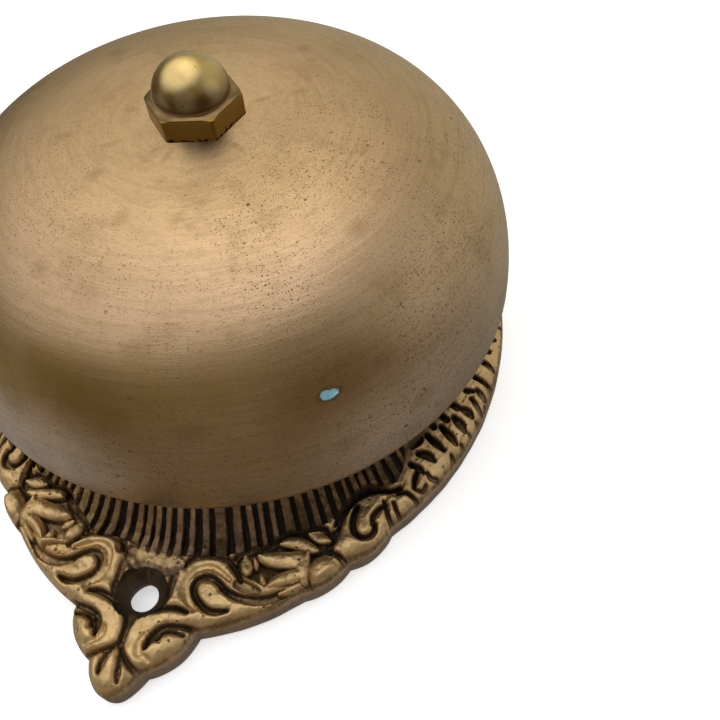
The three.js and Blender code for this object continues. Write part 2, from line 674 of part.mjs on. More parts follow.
const frame = new THREE.Group();
frame.add(
  named("back_plate", backPlate(), CAST_BRASS),
  named("key_bush", keyBush(), TURNED_BRASS),
  named("striker_bush_lower", lowerPivot(), TURNED_BRASS, [STRIKER_X, 0]),
  named("striker_bush_upper", upperPivot(), TURNED_BRASS, [STRIKER_X, 0]),
  named("bridge", bridge(), TURNED_BRASS),
);
PILLAR_ANGLES.forEach((angle, i) => {
  const at = [PILLAR_CIRCLE_RADIUS * cos(angle), PILLAR_CIRCLE_RADIUS * sin(angle)];
  frame.add(
    named(`pillar_${i + 1}`, pillar(), TURNED_BRASS, at),
    named(`pillar_screw_${i + 1}`, pillarScrew(), STEEL, at),
    named(`bridge_screw_${i + 1}`, bridgeScrew(), STEEL, at, angle + 0.6),
  );
});
frame.add(
  named("gong_post", gongPost(), STEEL),
  named("post_nut", postNut(), STEEL),
  named("gong_washer", ring(WASHER_RADIUS, STUD_HOLE_RADIUS, WASHER_Z, SMALL), LEATHER),
  named("gong", gong(), GONG_BRASS),
  named("acorn_nut", acornNut(), POLISHED_BRASS),
);

const drive = new THREE.Group();
drive.add(
  named("drive_arbor", driveArbor(), STEEL),
  named("thrust_washer", ring(THRUST_WASHER_RADIUS, BUSH_BORE_RADIUS, THRUST_WASHER_Z), STEEL),
  named("main_wheel", mainWheel(), TURNED_BRASS),
  named("arbor_clip", arborClip(), STEEL),
);

const striker = new THREE.Group();
striker.position.x = STRIKER_X;
striker.add(
  named("striker_arbor", strikerArbor(), STEEL),
  named("striker_pinion", pinion(), TURNED_BRASS),
  named("striker_cheek_lower", cheek(LOWER_CHEEK_Z), TURNED_BRASS),
  named("striker_cheek_upper", cheek(UPPER_CHEEK_Z), TURNED_BRASS),
  named("striker_spacer", spacer(), TURNED_BRASS),
);
[1, -1].forEach((side, i) => {
  const at = [0, side * PIN_OFFSET];
  striker.add(
    named(`hammer_pin_${i + 1}`, hammerPin(), STEEL, at),
    named(`hammer_${i + 1}`, hammer(), TURNED_BRASS, at, (side * PI) / 2),
  );
});

doorbell.add(frame, drive, striker);

export default doorbell;
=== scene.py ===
"""Looks of the twist doorbell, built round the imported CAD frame.

Lengths are in mm, except in the materials, whose coordinates are in metres.
"""

import json
import math

import bmesh
import bpy
import numpy as np
from mathutils import Matrix, Vector


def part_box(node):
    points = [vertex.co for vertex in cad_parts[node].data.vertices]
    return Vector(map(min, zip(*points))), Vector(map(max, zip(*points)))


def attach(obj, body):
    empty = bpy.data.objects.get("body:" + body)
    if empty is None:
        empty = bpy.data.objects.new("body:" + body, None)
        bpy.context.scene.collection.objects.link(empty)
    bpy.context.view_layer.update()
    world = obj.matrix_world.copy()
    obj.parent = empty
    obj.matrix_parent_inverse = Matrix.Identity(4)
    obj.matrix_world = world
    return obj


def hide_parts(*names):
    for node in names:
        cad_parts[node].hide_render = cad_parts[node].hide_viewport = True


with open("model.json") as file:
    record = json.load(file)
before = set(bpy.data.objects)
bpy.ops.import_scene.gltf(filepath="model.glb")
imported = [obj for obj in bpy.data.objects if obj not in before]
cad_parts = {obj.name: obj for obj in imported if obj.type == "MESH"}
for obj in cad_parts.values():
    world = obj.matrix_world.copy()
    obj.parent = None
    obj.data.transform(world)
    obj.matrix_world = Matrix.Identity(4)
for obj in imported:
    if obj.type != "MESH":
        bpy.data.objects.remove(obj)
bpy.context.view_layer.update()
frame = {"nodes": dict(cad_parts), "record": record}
MM = 0.001


def unit(value):
    """The value, held between 0 and 1."""
    return np.clip(value, 0, 1)


def eased(u):
    """From 0 to 1 with a level start and end."""
    return u * u * (3 - 2 * u)


def arched(u):
    """From 0 to 1 along a quarter of a circle, steep at the start."""
    return np.sqrt(1 - (1 - u) ** 2)


def cad_box(node):
    """Lowest and highest corner of a CAD node, in mm."""
    lo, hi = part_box(node)
    return np.array(lo) / MM, np.array(hi) / MM


def centre_of(node):
    """X and Y of the middle of a CAD node, in mm."""
    lo, hi = cad_box(node)
    return (lo + hi)[:2] / 2


# ---------------- camera
# solved from the outlines of the gong, the nut and the plate
CAMERA_AT = (51.83, -93.35, 129.89)
CAMERA_RIGHT = (0.97185, 0.22910, -0.05498)
CAMERA_UP = (-0.15278, 0.79045, 0.59317)
LENS, SENSOR = 39.74, 36.0


def add_object(name, data):
    obj = bpy.data.objects.new(name, data)
    bpy.context.scene.collection.objects.link(obj)
    return obj


def make_camera():
    data = bpy.data.cameras.new("camera")
    data.lens = LENS
    data.sensor_width = SENSOR
    data.sensor_fit = "HORIZONTAL"
    data.clip_start = 0.01
    data.clip_end = 20.0
    right = Vector(CAMERA_RIGHT).normalized()
    up = Vector(CAMERA_UP)
    up = (up - right * up.dot(right)).normalized()
    turn = Matrix((right, up, right.cross(up))).transposed().to_4x4()
    obj = add_object("camera", data)
    obj.matrix_world = Matrix.Translation(Vector(CAMERA_AT) * MM) @ turn
    bpy.context.scene.camera = obj


make_camera()


# ---------------- node helpers
RANGE_SOCKETS = ("From Min", "From Max", "To Min", "To Max")


class Nodes:
    """Short calls that make and link the nodes of one tree."""

    def __init__(self, tree):
        self.tree = tree

    def add(self, kind, settings=None, **inputs):
        node = self.tree.nodes.new(kind)
        for key, value in (settings or {}).items():
            setattr(node, key, value)
        for key, value in inputs.items():
            numbered = key[0] == "i" and key[1:].isdigit()
            self.feed(node.inputs[int(key[1:]) if numbered else key], value)
        return node

    def feed(self, socket, value):
        if isinstance(value, bpy.types.NodeSocket):
            self.tree.links.new(value, socket)
        else:
            socket.default_value = value

    def math(self, operation, a, b=0.0, clamp=False):
        settings = {"operation": operation, "use_clamp": clamp}
        return self.add("ShaderNodeMath", settings, i0=a, i1=b).outputs[0]

    def sum(self, a, b, clamp=False):
        return self.math("ADD", a, b, clamp)

    def sub(self, a, b, clamp=False):
        return self.math("SUBTRACT", a, b, clamp)

    def mul(self, a, b):
        return self.math("MULTIPLY", a, b)

    def ruffled(self, value, noise, amount):
        """The value, raised and lowered by a noise that lies round a half."""
        return self.sum(value, self.mul(self.sub(noise, 0.5), amount))

    def smooth(self, value, low, high, to_low=0.0, to_high=1.0):
        node = self.add("ShaderNodeMapRange", {"interpolation_type": "SMOOTHSTEP"}, Value=value)
        for key, number in zip(RANGE_SOCKETS, (low, high, to_low, to_high)):
            self.feed(node.inputs[key], number)
        return node.outputs[0]

    def mix(self, factor, a, b):
        node = self.add("ShaderNodeMix", {"data_type": "RGBA", "blend_type": "MIX"})
        self.feed(node.inputs["Factor"], factor)
        for key, value in (("A", a), ("B", b)):
            socket = next(s for s in node.inputs if s.name == key and s.type == "RGBA")
            self.feed(socket, (*value, 1.0) if isinstance(value, tuple) else value)
        return next(s for s in node.outputs if s.type == "RGBA")

    def noise(self, vector, scale, detail=2.0, roughness=0.5):
        settings = {"Vector": vector, "Scale": scale, "Detail": detail, "Roughness": roughness}
        return self.add("ShaderNodeTexNoise", **settings).outputs[0]

    def cells(self, vector, scale):
        """Distance to the nearest cell's middle, and its three random numbers."""
        node = self.add("ShaderNodeTexVoronoi", {"feature": "F1"}, Vector=vector, Scale=scale)
        return node.outputs["Distance"], node.outputs["Color"]

    def bump(self, height, distance, strength=1.0, normal=None):
        node = self.add("ShaderNodeBump", Height=height, Distance=distance, Strength=strength)
        if normal is not None:
            self.feed(node.inputs["Normal"], normal)
        return node.outputs[0]

    def split(self, vector):
        return self.add("ShaderNodeSeparateXYZ", Vector=vector).outputs

    def joined(self, x, y, z):
        return self.add("ShaderNodeCombineXYZ", X=x, Y=y, Z=z).outputs[0]


class Shader(Nodes):
    """A material and its nodes."""

    def __init__(self, name):
        self.material = bpy.data.materials.new(name)
        self.material.use_nodes = True
        super().__init__(self.material.node_tree)
        self.bsdf = self.tree.nodes["Principled BSDF"]
        self.position = self.add("ShaderNodeTexCoord").outputs["Object"]

    def set(self, color, rough, metal=0.0, normal=None):
        if isinstance(color, tuple):
            color = (*color, 1.0)
        self.feed(self.bsdf.inputs["Base Color"], color)
        self.feed(self.bsdf.inputs["Roughness"], rough)
        self.feed(self.bsdf.inputs["Metallic"], metal)
        if normal is not None:
            self.feed(self.bsdf.inputs["Normal"], normal)

    def turned(self, around, along):
        """Coordinates that run round the Z axis without a seam, and along the turned profile."""
        x, y, z = self.split(self.position)
        squares = self.sum(self.mul(x, x), self.mul(y, y))
        radius = self.math("MAXIMUM", self.math("SQRT", squares), 1e-4)
        ux = self.mul(self.math("DIVIDE", x, radius), around)
        uy = self.mul(self.math("DIVIDE", y, radius), around)
        run = self.mul(self.sub(radius, z), along)
        return self.joined(ux, uy, run)


# ---------------- materials
VERDIGRIS_AT = (0.0291, -0.0362, 0.0399)  # in metres
# cells round the gong and along it, share of them with a pit, and the largest pit's size in cells
PIT_SIZES = (
    (34.0, 1050.0, 0.2, 0.22),
    (13.0, 380.0, 0.14, 0.13),
    (70.0, 2300.0, 0.5, 0.34),
    (120.0, 3900.0, 0.5, 0.4),
)


def gong_material():
    s = Shader("satin_aged_brass")
    x, y, z = s.split(s.position)
    cloud = s.noise(s.position, 38.0, 3.0, 0.55)
    blotch = s.noise(s.position, 120.0, 4.0, 0.6)
    streak = s.noise(s.turned(2.4, 900.0), 1.0, 4.0, 0.6)
    fine = s.noise(s.turned(16.0, 5200.0), 1.0, 3.0, 0.6)
    color = s.mix(s.smooth(cloud, 0.35, 0.68), (0.595, 0.41, 0.243), (0.515, 0.35, 0.2))
    color = s.mix(s.smooth(blotch, 0.52, 0.72, 0.0, 0.3), color, (0.36, 0.23, 0.115))
    # painted shade and reflection: the lower side is painted greyer and darker, most near the lip,
    # broken up by the blotches
    low = s.smooth(z, 0.046, 0.022)
    low = s.mul(low, s.smooth(blotch, 0.25, 0.7, 0.35, 0.95))
    color = s.mix(low, color, (0.5, 0.37, 0.25))
    color = s.mix(s.smooth(z, 0.032, 0.02, 0.0, 0.4), color, (0.34, 0.25, 0.17))
    # a warm dark band is painted round the front where the crown turns into the side: a painted
    # reflection, broken up by the blotches
    painted_dark_band = s.smooth(s.math("ABSOLUTE", s.sub(z, 0.0425)), 0.0075, 0.001)
    painted_dark_band = s.mul(painted_dark_band, s.smooth(y, -0.014, -0.034))
    painted_dark_band = s.mul(painted_dark_band, s.smooth(x, 0.034, -0.02, 0.45, 1.0))
    painted_dark_band = s.mul(painted_dark_band, s.smooth(blotch, 0.25, 0.65, 0.45, 1.0))
    color = s.mix(painted_dark_band, color, (0.36, 0.22, 0.05))
    color = s.mix(s.smooth(streak, 0.42, 0.7, 0.0, 0.22), color, (0.27, 0.165, 0.07))
    color = s.mix(s.smooth(fine, 0.3, 0.7, 0.0, 0.16), color, (0.22, 0.14, 0.06))
    grit = s.noise(s.turned(75.0, 3000.0), 1.0, 3.0, 0.65)
    worn = s.smooth(s.sub(x, s.mul(z, 1.2)), -0.05, 0.02, 0.3, 1.0)
    gritty = s.mul(worn, s.smooth(grit, 0.52, 0.72, 0.0, 0.8))
    color = s.mix(gritty, color, (0.12, 0.08, 0.04))
    distance, random = s.cells(s.turned(5.0, 150.0), 1.0)
    spread = s.smooth(s.ruffled(distance, blotch, 0.9), 0.42, 0.05, 0.0, 0.4)
    smudge = s.mul(spread, s.math("LESS_THAN", s.split(random)[0], 0.3))
    color = s.mix(smudge, color, (0.26, 0.16, 0.065))
    # dark pits, a little longer round the gong than along it
    warp = s.noise(s.position, 900.0, 2.0)
    pits = None
    for around, along, share, size in PIT_SIZES:
        distance, random = s.cells(s.turned(around, along), 1.0)
        chance, reach, _ = s.split(random)
        ragged = s.ruffled(distance, warp, 0.25)
        inside = s.smooth(s.sub(ragged, s.mul(reach, size)), 0.05, -0.06)
        inside = s.mul(inside, s.math("LESS_THAN", chance, share))
        pits = inside if pits is None else s.math("MAXIMUM", pits, inside)
    dirty = s.smooth(s.noise(s.position, 46.0, 2.0), 0.35, 0.65, 0.25, 1.0)
    pits = s.mul(pits, dirty)
    color = s.mix(s.mul(pits, 0.85), color, (0.045, 0.03, 0.018))
    # a chip of verdigris
    away = s.add("ShaderNodeVectorMath", {"operation": "SUBTRACT"}, i0=s.position, i1=VERDIGRIS_AT)
    ox, oy, oz = s.split(away.outputs[0])
    flat = s.joined(s.mul(ox, 0.6), oy, s.mul(oz, 1.9))
    reach = s.add("ShaderNodeVectorMath", {"operation": "LENGTH"}, i0=flat).outputs["Value"]
    crust = s.noise(s.position, 700.0, 4.0, 0.6)
    edge = s.ruffled(reach, crust, 0.0023)
    chip = s.smooth(edge, 0.0012, 0.0009)
    halo = s.smooth(edge, 0.0022, 0.0010, 0.0, 0.55)
    chip_color = s.mix(s.smooth(crust, 0.44, 0.6), (0.15, 0.37, 0.45), (0.33, 0.62, 0.74))
    color = s.mix(halo, color, (0.08, 0.055, 0.035))
    color = s.mix(chip, color, chip_color)
    rough = s.smooth(fine, 0.2, 0.8, 0.3, 0.42)
    rough = s.sum(rough, s.mul(pits, 0.25))
    rough = s.sum(rough, s.smooth(blotch, 0.5, 0.75, 0.0, 0.12))
    rough = s.sum(rough, s.smooth(z, 0.019, 0.0165, 0.0, 0.2))
    rough = s.sum(rough, s.mul(chip, 0.35), True)
    metal = s.sub(1.0, s.math("MAXIMUM", chip, s.mul(pits, 0.3)))
    wave = s.bump(s.noise(s.position, 26.0, 1.0), 0.0004, 0.5)
    brushed = s.bump(fine, 0.00002, 0.7, wave)
    brushed = s.bump(streak, 0.00005, 0.5, brushed)
    brushed = s.bump(s.mul(grit, worn), 0.00005, 0.5, brushed)
    pitted = s.bump(s.mul(pits, -1.0), 0.00002, 0.5, brushed)
    chipped = s.bump(s.mul(chip, crust), 0.0004, 0.9, pitted)
    s.set(color=color, rough=rough, metal=metal, normal=chipped)
    return s.material


def cast_material():
    s = Shader("cast_brass_patina")
    hollow_and_shade = s.add("ShaderNodeAttribute", {"attribute_name": "patina_and_shade"}).outputs["Fac"]
    grain = s.noise(s.position, 900.0, 4.0, 0.6)
    patch = s.noise(s.position, 190.0, 3.0, 0.55)
    wide = s.noise(s.position, 60.0, 2.0)
    uneven = s.ruffled(hollow_and_shade, patch, 0.42)
    uneven = s.ruffled(uneven, grain, 0.5)
    ground = s.mix(s.smooth(wide, 0.4, 0.65), (0.31, 0.2, 0.09), (0.28, 0.18, 0.105))
    high = s.mix(s.smooth(patch, 0.35, 0.7), (0.71, 0.505, 0.25), (0.565, 0.39, 0.18))
    color = s.mix(s.smooth(uneven, 0.4, 0.06), ground, high)
    color = s.mix(s.smooth(uneven, 0.42, 0.72), color, (0.095, 0.062, 0.025))
    color = s.mix(s.smooth(uneven, 0.68, 1.0), color, (0.016, 0.011, 0.006))
    color = s.mix(s.smooth(grain, 0.55, 0.75, 0.0, 0.5), color, (0.12, 0.075, 0.035))
    # the upright edge is dull, and it is painted a dark grey: painted shade
    z = s.split(s.position)[2]
    edge = s.smooth(s.ruffled(z, patch, 0.0016), 0.0055, 0.0028)
    color = s.mix(s.mul(edge, 0.85), color, (0.15, 0.11, 0.085))
    # casting pits on the high points
    distance, random = s.cells(s.position, 800.0)
    chosen = s.math("LESS_THAN", s.split(random)[0], 0.3)
    small = s.mul(s.smooth(distance, 0.26, 0.08), chosen)
    color = s.mix(s.mul(small, 0.75), color, (0.05, 0.032, 0.016))
    rough = s.math("MAXIMUM", s.smooth(uneven, 0.1, 0.8, 0.52, 0.7), s.mul(edge, 0.6))
    rough = s.sum(rough, s.smooth(grain, 0.3, 0.8, -0.04, 0.1), True)
    metal = s.sub(s.smooth(uneven, 0.55, 1.0, 1.0, 0.6), s.mul(edge, 0.4), True)
    lumps = s.bump(patch, 0.0002, 0.2)
    skin = s.bump(grain, 0.0001, 0.6, lumps)
    pitted = s.bump(s.mul(small, -1.0), 0.0002, 0.7, skin)
    s.set(color=color, rough=rough, metal=metal, normal=pitted)
    return s.material


def nut_material():
    s = Shader("polished_worn_brass")
    z = s.split(s.position)[2]
    hex_top, seat = HEX_TOP * MM, NUT_SEAT * MM
    grain = s.noise(s.position, 1500.0, 4.0, 0.6)
    cloud = s.noise(s.position, 260.0, 2.0)
    turned = s.noise(s.turned(5.0, 7000.0), 1.0, 3.0)
    color = s.mix(s.smooth(cloud, 0.35, 0.7), (0.64, 0.47, 0.2), (0.5, 0.36, 0.14))
    # the hexagon's sides are painted darker than the dome: a painted dark reflection
    hex_side = s.smooth(z, hex_top + 0.0002, hex_top - 0.0002)
    color = s.mix(s.mul(hex_side, 0.85), color, (0.24, 0.14, 0.018))
    # dirt and painted shade where the dome meets the hexagon, and a painted dark reflection round
    # the dome's lower part
    away = s.math("ABSOLUTE", s.sub(z, hex_top + 0.5 * MM))
    neck = s.mul(s.sub(1.0, s.smooth(away, 0.0003, 0.0013)), s.smooth(cloud, 0.3, 0.65, 0.5, 1.0))
    neck = s.mul(neck, s.smooth(z, hex_top - 0.0004, hex_top - 0.0001))
    color = s.mix(neck, color, (0.05, 0.033, 0.02))
    # the lower part of the dome is painted darker: a painted dark reflection
    dome_painted_reflection = s.smooth(s.ruffled(z, cloud, 0.003), hex_top + 4.4 * MM, hex_top + 1.8 * MM)
    dome_painted_reflection = s.mul(dome_painted_reflection, s.sub(1.0, hex_side))
    color = s.mix(s.mul(dome_painted_reflection, 0.85), color, (0.2, 0.13, 0.065))
    foot = s.smooth(s.ruffled(z, grain, 0.003), seat + 0.75 * MM, seat + 0.1 * MM)
    color = s.mix(foot, color, (0.02, 0.012, 0.006))
    distance, random = s.cells(s.position, 900.0)
    chosen = s.math("LESS_THAN", s.split(random)[0], 0.05)
    pits = s.mul(s.smooth(distance, 0.25, 0.1), chosen)
    color = s.mix(s.mul(pits, 0.6), color, (0.06, 0.04, 0.02))
    rough = s.sum(s.smooth(turned, 0.3, 0.7, 0.17, 0.24), s.mul(hex_side, 0.1))
    rough = s.sum(rough, s.mul(s.math("MAXIMUM", foot, pits), 0.3), True)
    skin = s.bump(grain, 0.00003, 0.5)
    skin = s.bump(turned, 0.00001, 0.5, skin)
    s.set(color=color, rough=rough, metal=1.0, normal=skin)
    return s.material


def metal_material(name, light, dark, rough):
    """A turned or milled metal with tool marks, stains in patches and small dark specks."""
    s = Shader(name)
    marks = s.noise(s.turned(12.0, 4200.0), 1.0, 3.0)
    patch = s.noise(s.position, 240.0, 3.0, 0.6)
    grain = s.noise(s.position, 1900.0, 3.0, 0.6)
    color = s.mix(s.smooth(patch, 0.35, 0.72), light, dark)
    color = s.mix(s.smooth(marks, 0.35, 0.75, 0.0, 0.3), color, dark)
    color = s.mix(s.smooth(grain, 0.62, 0.8, 0.0, 0.55), color, tuple(0.2 * c for c in dark))
    level = s.smooth(patch, 0.3, 0.75, rough - 0.06, rough + 0.14)
    level = s.sum(level, s.smooth(marks, 0.3, 0.7, 0.0, 0.06))
    skin = s.bump(marks, 0.00002, 0.6)
    skin = s.bump(grain, 0.00002, 0.5, skin)
    s.set(color=color, rough=level, metal=1.0, normal=skin)
    return s.material


def leather_material():
    s = Shader("oiled_leather")
    grain = s.noise(s.position, 1400.0, 4.0, 0.7)
    distance, _ = s.cells(s.position, 1100.0)
    color = s.mix(s.smooth(grain, 0.3, 0.7), (0.05, 0.026, 0.014), (0.12, 0.065, 0.035))
    rough = s.smooth(grain, 0.3, 0.7, 0.6, 0.85)
    s.set(color=color, rough=rough, normal=s.bump(distance, 0.0001, 0.6))
    return s.material


# ---------------- mesh helpers
SMOOTH_ANGLE = 35.0  # degrees; a sharper edge isn't shaded smooth
EASED_EDGE = 0.2


def make_object(name, vertices, faces, material, smooth_angle=SMOOTH_ANGLE):
    """A mesh object from mm coordinates, shaded smooth but for its sharp edges."""
    mesh = bpy.data.meshes.new(name)
    mesh.from_pydata((np.asarray(vertices, float) * MM).tolist(), [], faces)
    mesh.validate()
    mesh.materials.append(material)
    obj = add_object(name, mesh)
    shade(mesh, smooth_angle)
    return obj


def shade(mesh, smooth_angle):
    mesh.polygons.foreach_set("use_smooth", np.ones(len(mesh.polygons), bool))
    mesh.set_sharp_from_angle(angle=math.radians(smooth_angle))
    mesh.update()


def lathe_mesh(profile, segments):
    """Vertices and faces of a closed [radius, height] outline turned about Z."""
    profile = np.asarray(profile, float)
    count = len(profile)
    angle = np.arange(segments)[:, None] * 2 * math.pi / segments
    radius, height = profile[:, 0], np.repeat(profile[:, 1][None], segments, 0)
    vertices = np.stack([radius * np.cos(angle), radius * np.sin(angle), height], -1)
    vertices = vertices.reshape(-1, 3)
    faces = []
    for i in range(segments):
        j = (i + 1) % segments
        for k in range(count):
            m = (k + 1) % count
            on_axis_k, on_axis_m = profile[k, 0] <= 1e-9, profile[m, 0] <= 1e-9
            if on_axis_k and on_axis_m:
                continue
            if on_axis_k:
                faces.append((k, j * count + m, i * count + m)[::-1])
            elif on_axis_m:
                faces.append((i * count + k, j * count + k, m))
            else:
                faces.append((i * count + k, j * count + k, j * count + m, i * count + m))
    return vertices, faces


def lathe(name, profile, material, segments, smooth_angle=SMOOTH_ANGLE):
    vertices, faces = lathe_mesh(profile, segments)
    obj = make_object(name, vertices, faces, material, smooth_angle)
    clean(obj.data)
    shade(obj.data, smooth_angle)
    return obj


def clean(mesh, distance=1e-7):
    work = bmesh.new()
    work.from_mesh(mesh)
    bmesh.ops.remove_doubles(work, verts=work.verts, dist=distance)
    loose = [v for v in work.verts if not v.link_faces]
    bmesh.ops.delete(work, geom=loose, context="VERTS")
    bmesh.ops.recalc_face_normals(work, faces=work.faces)
    work.to_mesh(mesh)
    work.free()


def boolean(obj, cutter, operation="DIFFERENCE"):
    """Applies one boolean and removes the cutter."""
    modifier = obj.modifiers.new("cut", "BOOLEAN")
    modifier.operation = operation
    modifier.solver = "MANIFOLD"
    modifier.object = cutter
    graph = bpy.context.evaluated_depsgraph_get()
    graph.update()
    result = bpy.data.meshes.new_from_object(obj.evaluated_get(graph))
    obj.modifiers.clear()
    old = obj.data
    obj.data = result
    result.name = old.name
    bpy.data.meshes.remove(old)
    bpy.data.objects.remove(cutter)


def refined(node, material):
    """A piece with the CAD node's own shape, eased edges and smoothly shaded round faces."""
    mesh = bpy.data.meshes.new_from_object(frame["nodes"][node])
    mesh.name = node + "_fine"
    clean(mesh, 2e-6)
    work = bmesh.new()
    work.from_mesh(mesh)
    flat = [e for e in work.edges if len(e.link_faces) == 2 and e.calc_face_angle(1.0) < 0.01]
    bmesh.ops.dissolve_edges(work, edges=flat, use_verts=False)
    work.to_mesh(mesh)
    work.free()
    mesh.materials.clear()
    mesh.materials.append(material)
    obj = add_object(node + "_fine", mesh)
    shade(mesh, SMOOTH_ANGLE)
    bevel = obj.modifiers.new("edges", "BEVEL")
    bevel.width = EASED_EDGE * MM
    bevel.segments = 2
    bevel.limit_method = "ANGLE"
    bevel.angle_limit = math.radians(SMOOTH_ANGLE)
    bevel.harden_normals = True
    return obj


def place(obj, body, node):
    """Puts a piece on its body, in place of one CAD node."""
    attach(obj, body)
    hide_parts(node)


# ---------------- gong
GONG_LO, GONG_HI = cad_box("gong")
GONG_RADIUS = GONG_HI[0]
GONG_TOP = GONG_HI[2]
GONG_BOTTOM = GONG_LO[2]
LIP_RADIUS = 3.2
GONG_EQUATOR = GONG_BOTTOM + LIP_RADIUS
GONG_WALL = 2.4
STUD_HOLE = 4.3
SIDE_POWER, CROWN_POWER = 0.4975, 0.957


def dome_curve(radius, rise, steps):
    last = math.acos((STUD_HOLE / radius) ** (1 / SIDE_POWER))
    angles = last * (1 - (1 - np.linspace(0, 1, steps)) ** 1.3)
    points = [
        [radius * math.cos(a) ** SIDE_POWER, GONG_EQUATOR + rise * math.sin(a) ** CROWN_POWER]
        for a in angles
    ]
    points[-1][0] = STUD_HOLE
    return points


def build_gong(material):
    rise = GONG_TOP - GONG_EQUATOR
    outer = dome_curve(GONG_RADIUS, rise, 72)
    inner = dome_curve(GONG_RADIUS - GONG_WALL, rise - GONG_WALL, 40)[::-1]
    lip = [
        [GONG_RADIUS + LIP_RADIUS * (math.cos(a) - 1), GONG_EQUATOR + LIP_RADIUS * math.sin(a)]
        for a in np.linspace(-1.25 * math.pi / 2, 0, 15)[:-1]
    ]
    seat = [inner[-1][0] - 0.2, GONG_EQUATOR - 0.6]
    bead = [[GONG_RADIUS - LIP_RADIUS - 0.9, GONG_EQUATOR - LIP_RADIUS + 1.5]]
    hole = [[STUD_HOLE, GONG_TOP - 0.25], [STUD_HOLE, GONG_TOP - GONG_WALL + 0.25]]
    outer[-1] = [STUD_HOLE + 0.25, GONG_TOP - 0.02]
    inner[0] = [STUD_HOLE + 0.25, GONG_TOP - GONG_WALL]
    profile = lip + outer + hole + inner + [seat] + bead
    obj = lathe("gong_shell", profile, material, 288, smooth_angle=40.0)
    place(obj, "frame", "gong")


# ---------------- acorn nut
NUT_LO, NUT_HI = cad_box("acorn_nut")
NUT_SEAT = NUT_LO[2]
HEX_TOP = NUT_SEAT + 3.9
HEX_CORNER = 7.6
HEX_TURN = 0.22  # radians
HEX_CHAMFER = 6.95  # radius where the upper corners begin to slope
HEX_SLOPE = math.radians(28)
HEX_EDGE = 0.16
HEX_STEPS = 14  # points along each side
DOME_RADIUS = 6.05
DOME_CENTRE = NUT_HI[2] - DOME_RADIUS
BORE_DEPTH = 7.0


def hexagon_mesh():
    """A hexagonal prism whose upper corners are chamfered by a cone and whose edges are eased."""
    apothem = HEX_CORNER * math.cos(math.pi / 6)
    spread = np.sin(np.linspace(-1, 1, HEX_STEPS + 1)[:-1] * math.pi / 2) * math.pi / 6
    angles = np.concatenate([HEX_TURN + math.pi / 6 + k * math.pi / 3 + spread for k in range(6)])
    reach = np.minimum(apothem / np.cos(np.concatenate([spread] * 6)), HEX_CORNER - 0.12)
    drop = np.maximum(0, reach - HEX_CHAMFER) * math.tan(HEX_SLOPE)
    level, edge = np.ones_like(reach), HEX_EDGE
    rows = (
        (reach - edge, NUT_SEAT * level),
        (reach, (NUT_SEAT + edge) * level),
        (reach, HEX_TOP - drop - edge),
        (reach - 0.3 * edge, HEX_TOP - drop - 0.3 * edge),
        (reach - edge, HEX_TOP - drop),
        (np.minimum(reach - edge, HEX_CHAMFER - edge), HEX_TOP * level),
    )
    vertices, faces, n = [], [], len(angles)
    for radius, z in rows:
        vertices += [[r * math.cos(a), r * math.sin(a), h] for r, a, h in zip(radius, angles, z)]
    for row in range(len(rows) - 1):
        for i in range(n):
            j = (i + 1) % n
            faces.append((row * n + i, row * n + j, (row + 1) * n + j, (row + 1) * n + i))
    faces.append(tuple(range(n))[::-1])
    faces.append(tuple(range((len(rows) - 1) * n, len(rows) * n)))
    return vertices, faces


def build_acorn(material):
    obj = make_object("acorn", *hexagon_mesh(), material, 30.0)
    clean(obj.data)
    top = [[0, HEX_TOP - 1.0], [5.8, HEX_TOP - 1.0], [5.8, HEX_TOP + 0.08], [5.96, HEX_TOP + 0.28]]
    for a in np.linspace(0.09, math.pi / 2, 30):
        top.append([DOME_RADIUS * math.cos(a), DOME_CENTRE + DOME_RADIUS * math.sin(a)])
    top[-1][0] = 0.0
    dome = lathe("dome", top, material, 96)
    boolean(obj, dome, "UNION")
    bore = [[0, -1], [4.7, -1], [STUD_HOLE, 0.4], [STUD_HOLE, BORE_DEPTH], [0, BORE_DEPTH]]
    bore = [[radius, NUT_SEAT + depth] for radius, depth in bore]
    boolean(obj, lathe("bore", bore, material, 48))
    shade(obj.data, 32.0)
    obj.visible_glossy = False
    place(obj, "frame", "acorn_nut")


# ---------------- back plate relief
_, PLATE_HI = cad_box("back_plate")
HALF_WIDTH = 50.7
OVAL_HALF_LENGTH = 56.2
HALF_LENGTH = PLATE_HI[1]
PLATEAU = PLATE_HI[2]
UNDERSIDE = 11.0
# the outline's lobes between the tip and the oval: where each ends, and how far it bulges
TIP_NOTCH = (4.5, 69.6)
LOBES = (((10.4, 61.9), 1.3), ((25.5, 52.3), 1.0), ((31.7, 45.5), 0.9), ((37.3, 38.06), 1.1))
# the fluted rise from the rim to the plateau: radius and height
FLANK = (
    (39.0, 14.0), (41.0, 13.95), (41.8, 13.6), (43.0, 12.4), (44.5, 10.7), (46.0, 9.0),
    (47.5, 7.5), (48.8, 6.4), (49.8, 6.1), (50.8, 5.95), (80.0, 5.9),
)
FLUTES = 144
# crown of the side band: radius and height; and the angle where it ends
BAND_CROWN = (
    (42.5, 11.5), (43.6, 9.2), (44.6, 8.0), (46.6, 7.5), (48.0, 7.25), (49.4, 6.9), (52.0, 6.4),
)
BAND_END, BAND_FADE = math.radians(41), math.radians(6)
HOLE_Y = 58.2
EDGE_HEIGHT = 4.0  # top of the upright edge
BOSS = (28.2, 48.5, 2.75, 7.9)  # x, y, radius and height
# heights of the scrollwork: its deepest cut, the recessed ground and the crests
LOWEST, GROUND, TOP = 4.9, 5.6, 7.1
FLUTE_DEPTH = 1.1
RAISED_WIDTH = 1.3  # share of the drawn width
EDGE_ROLL, BOSS_ROLL = 2.4, 1.0  # how far in from the edge the surface bends down


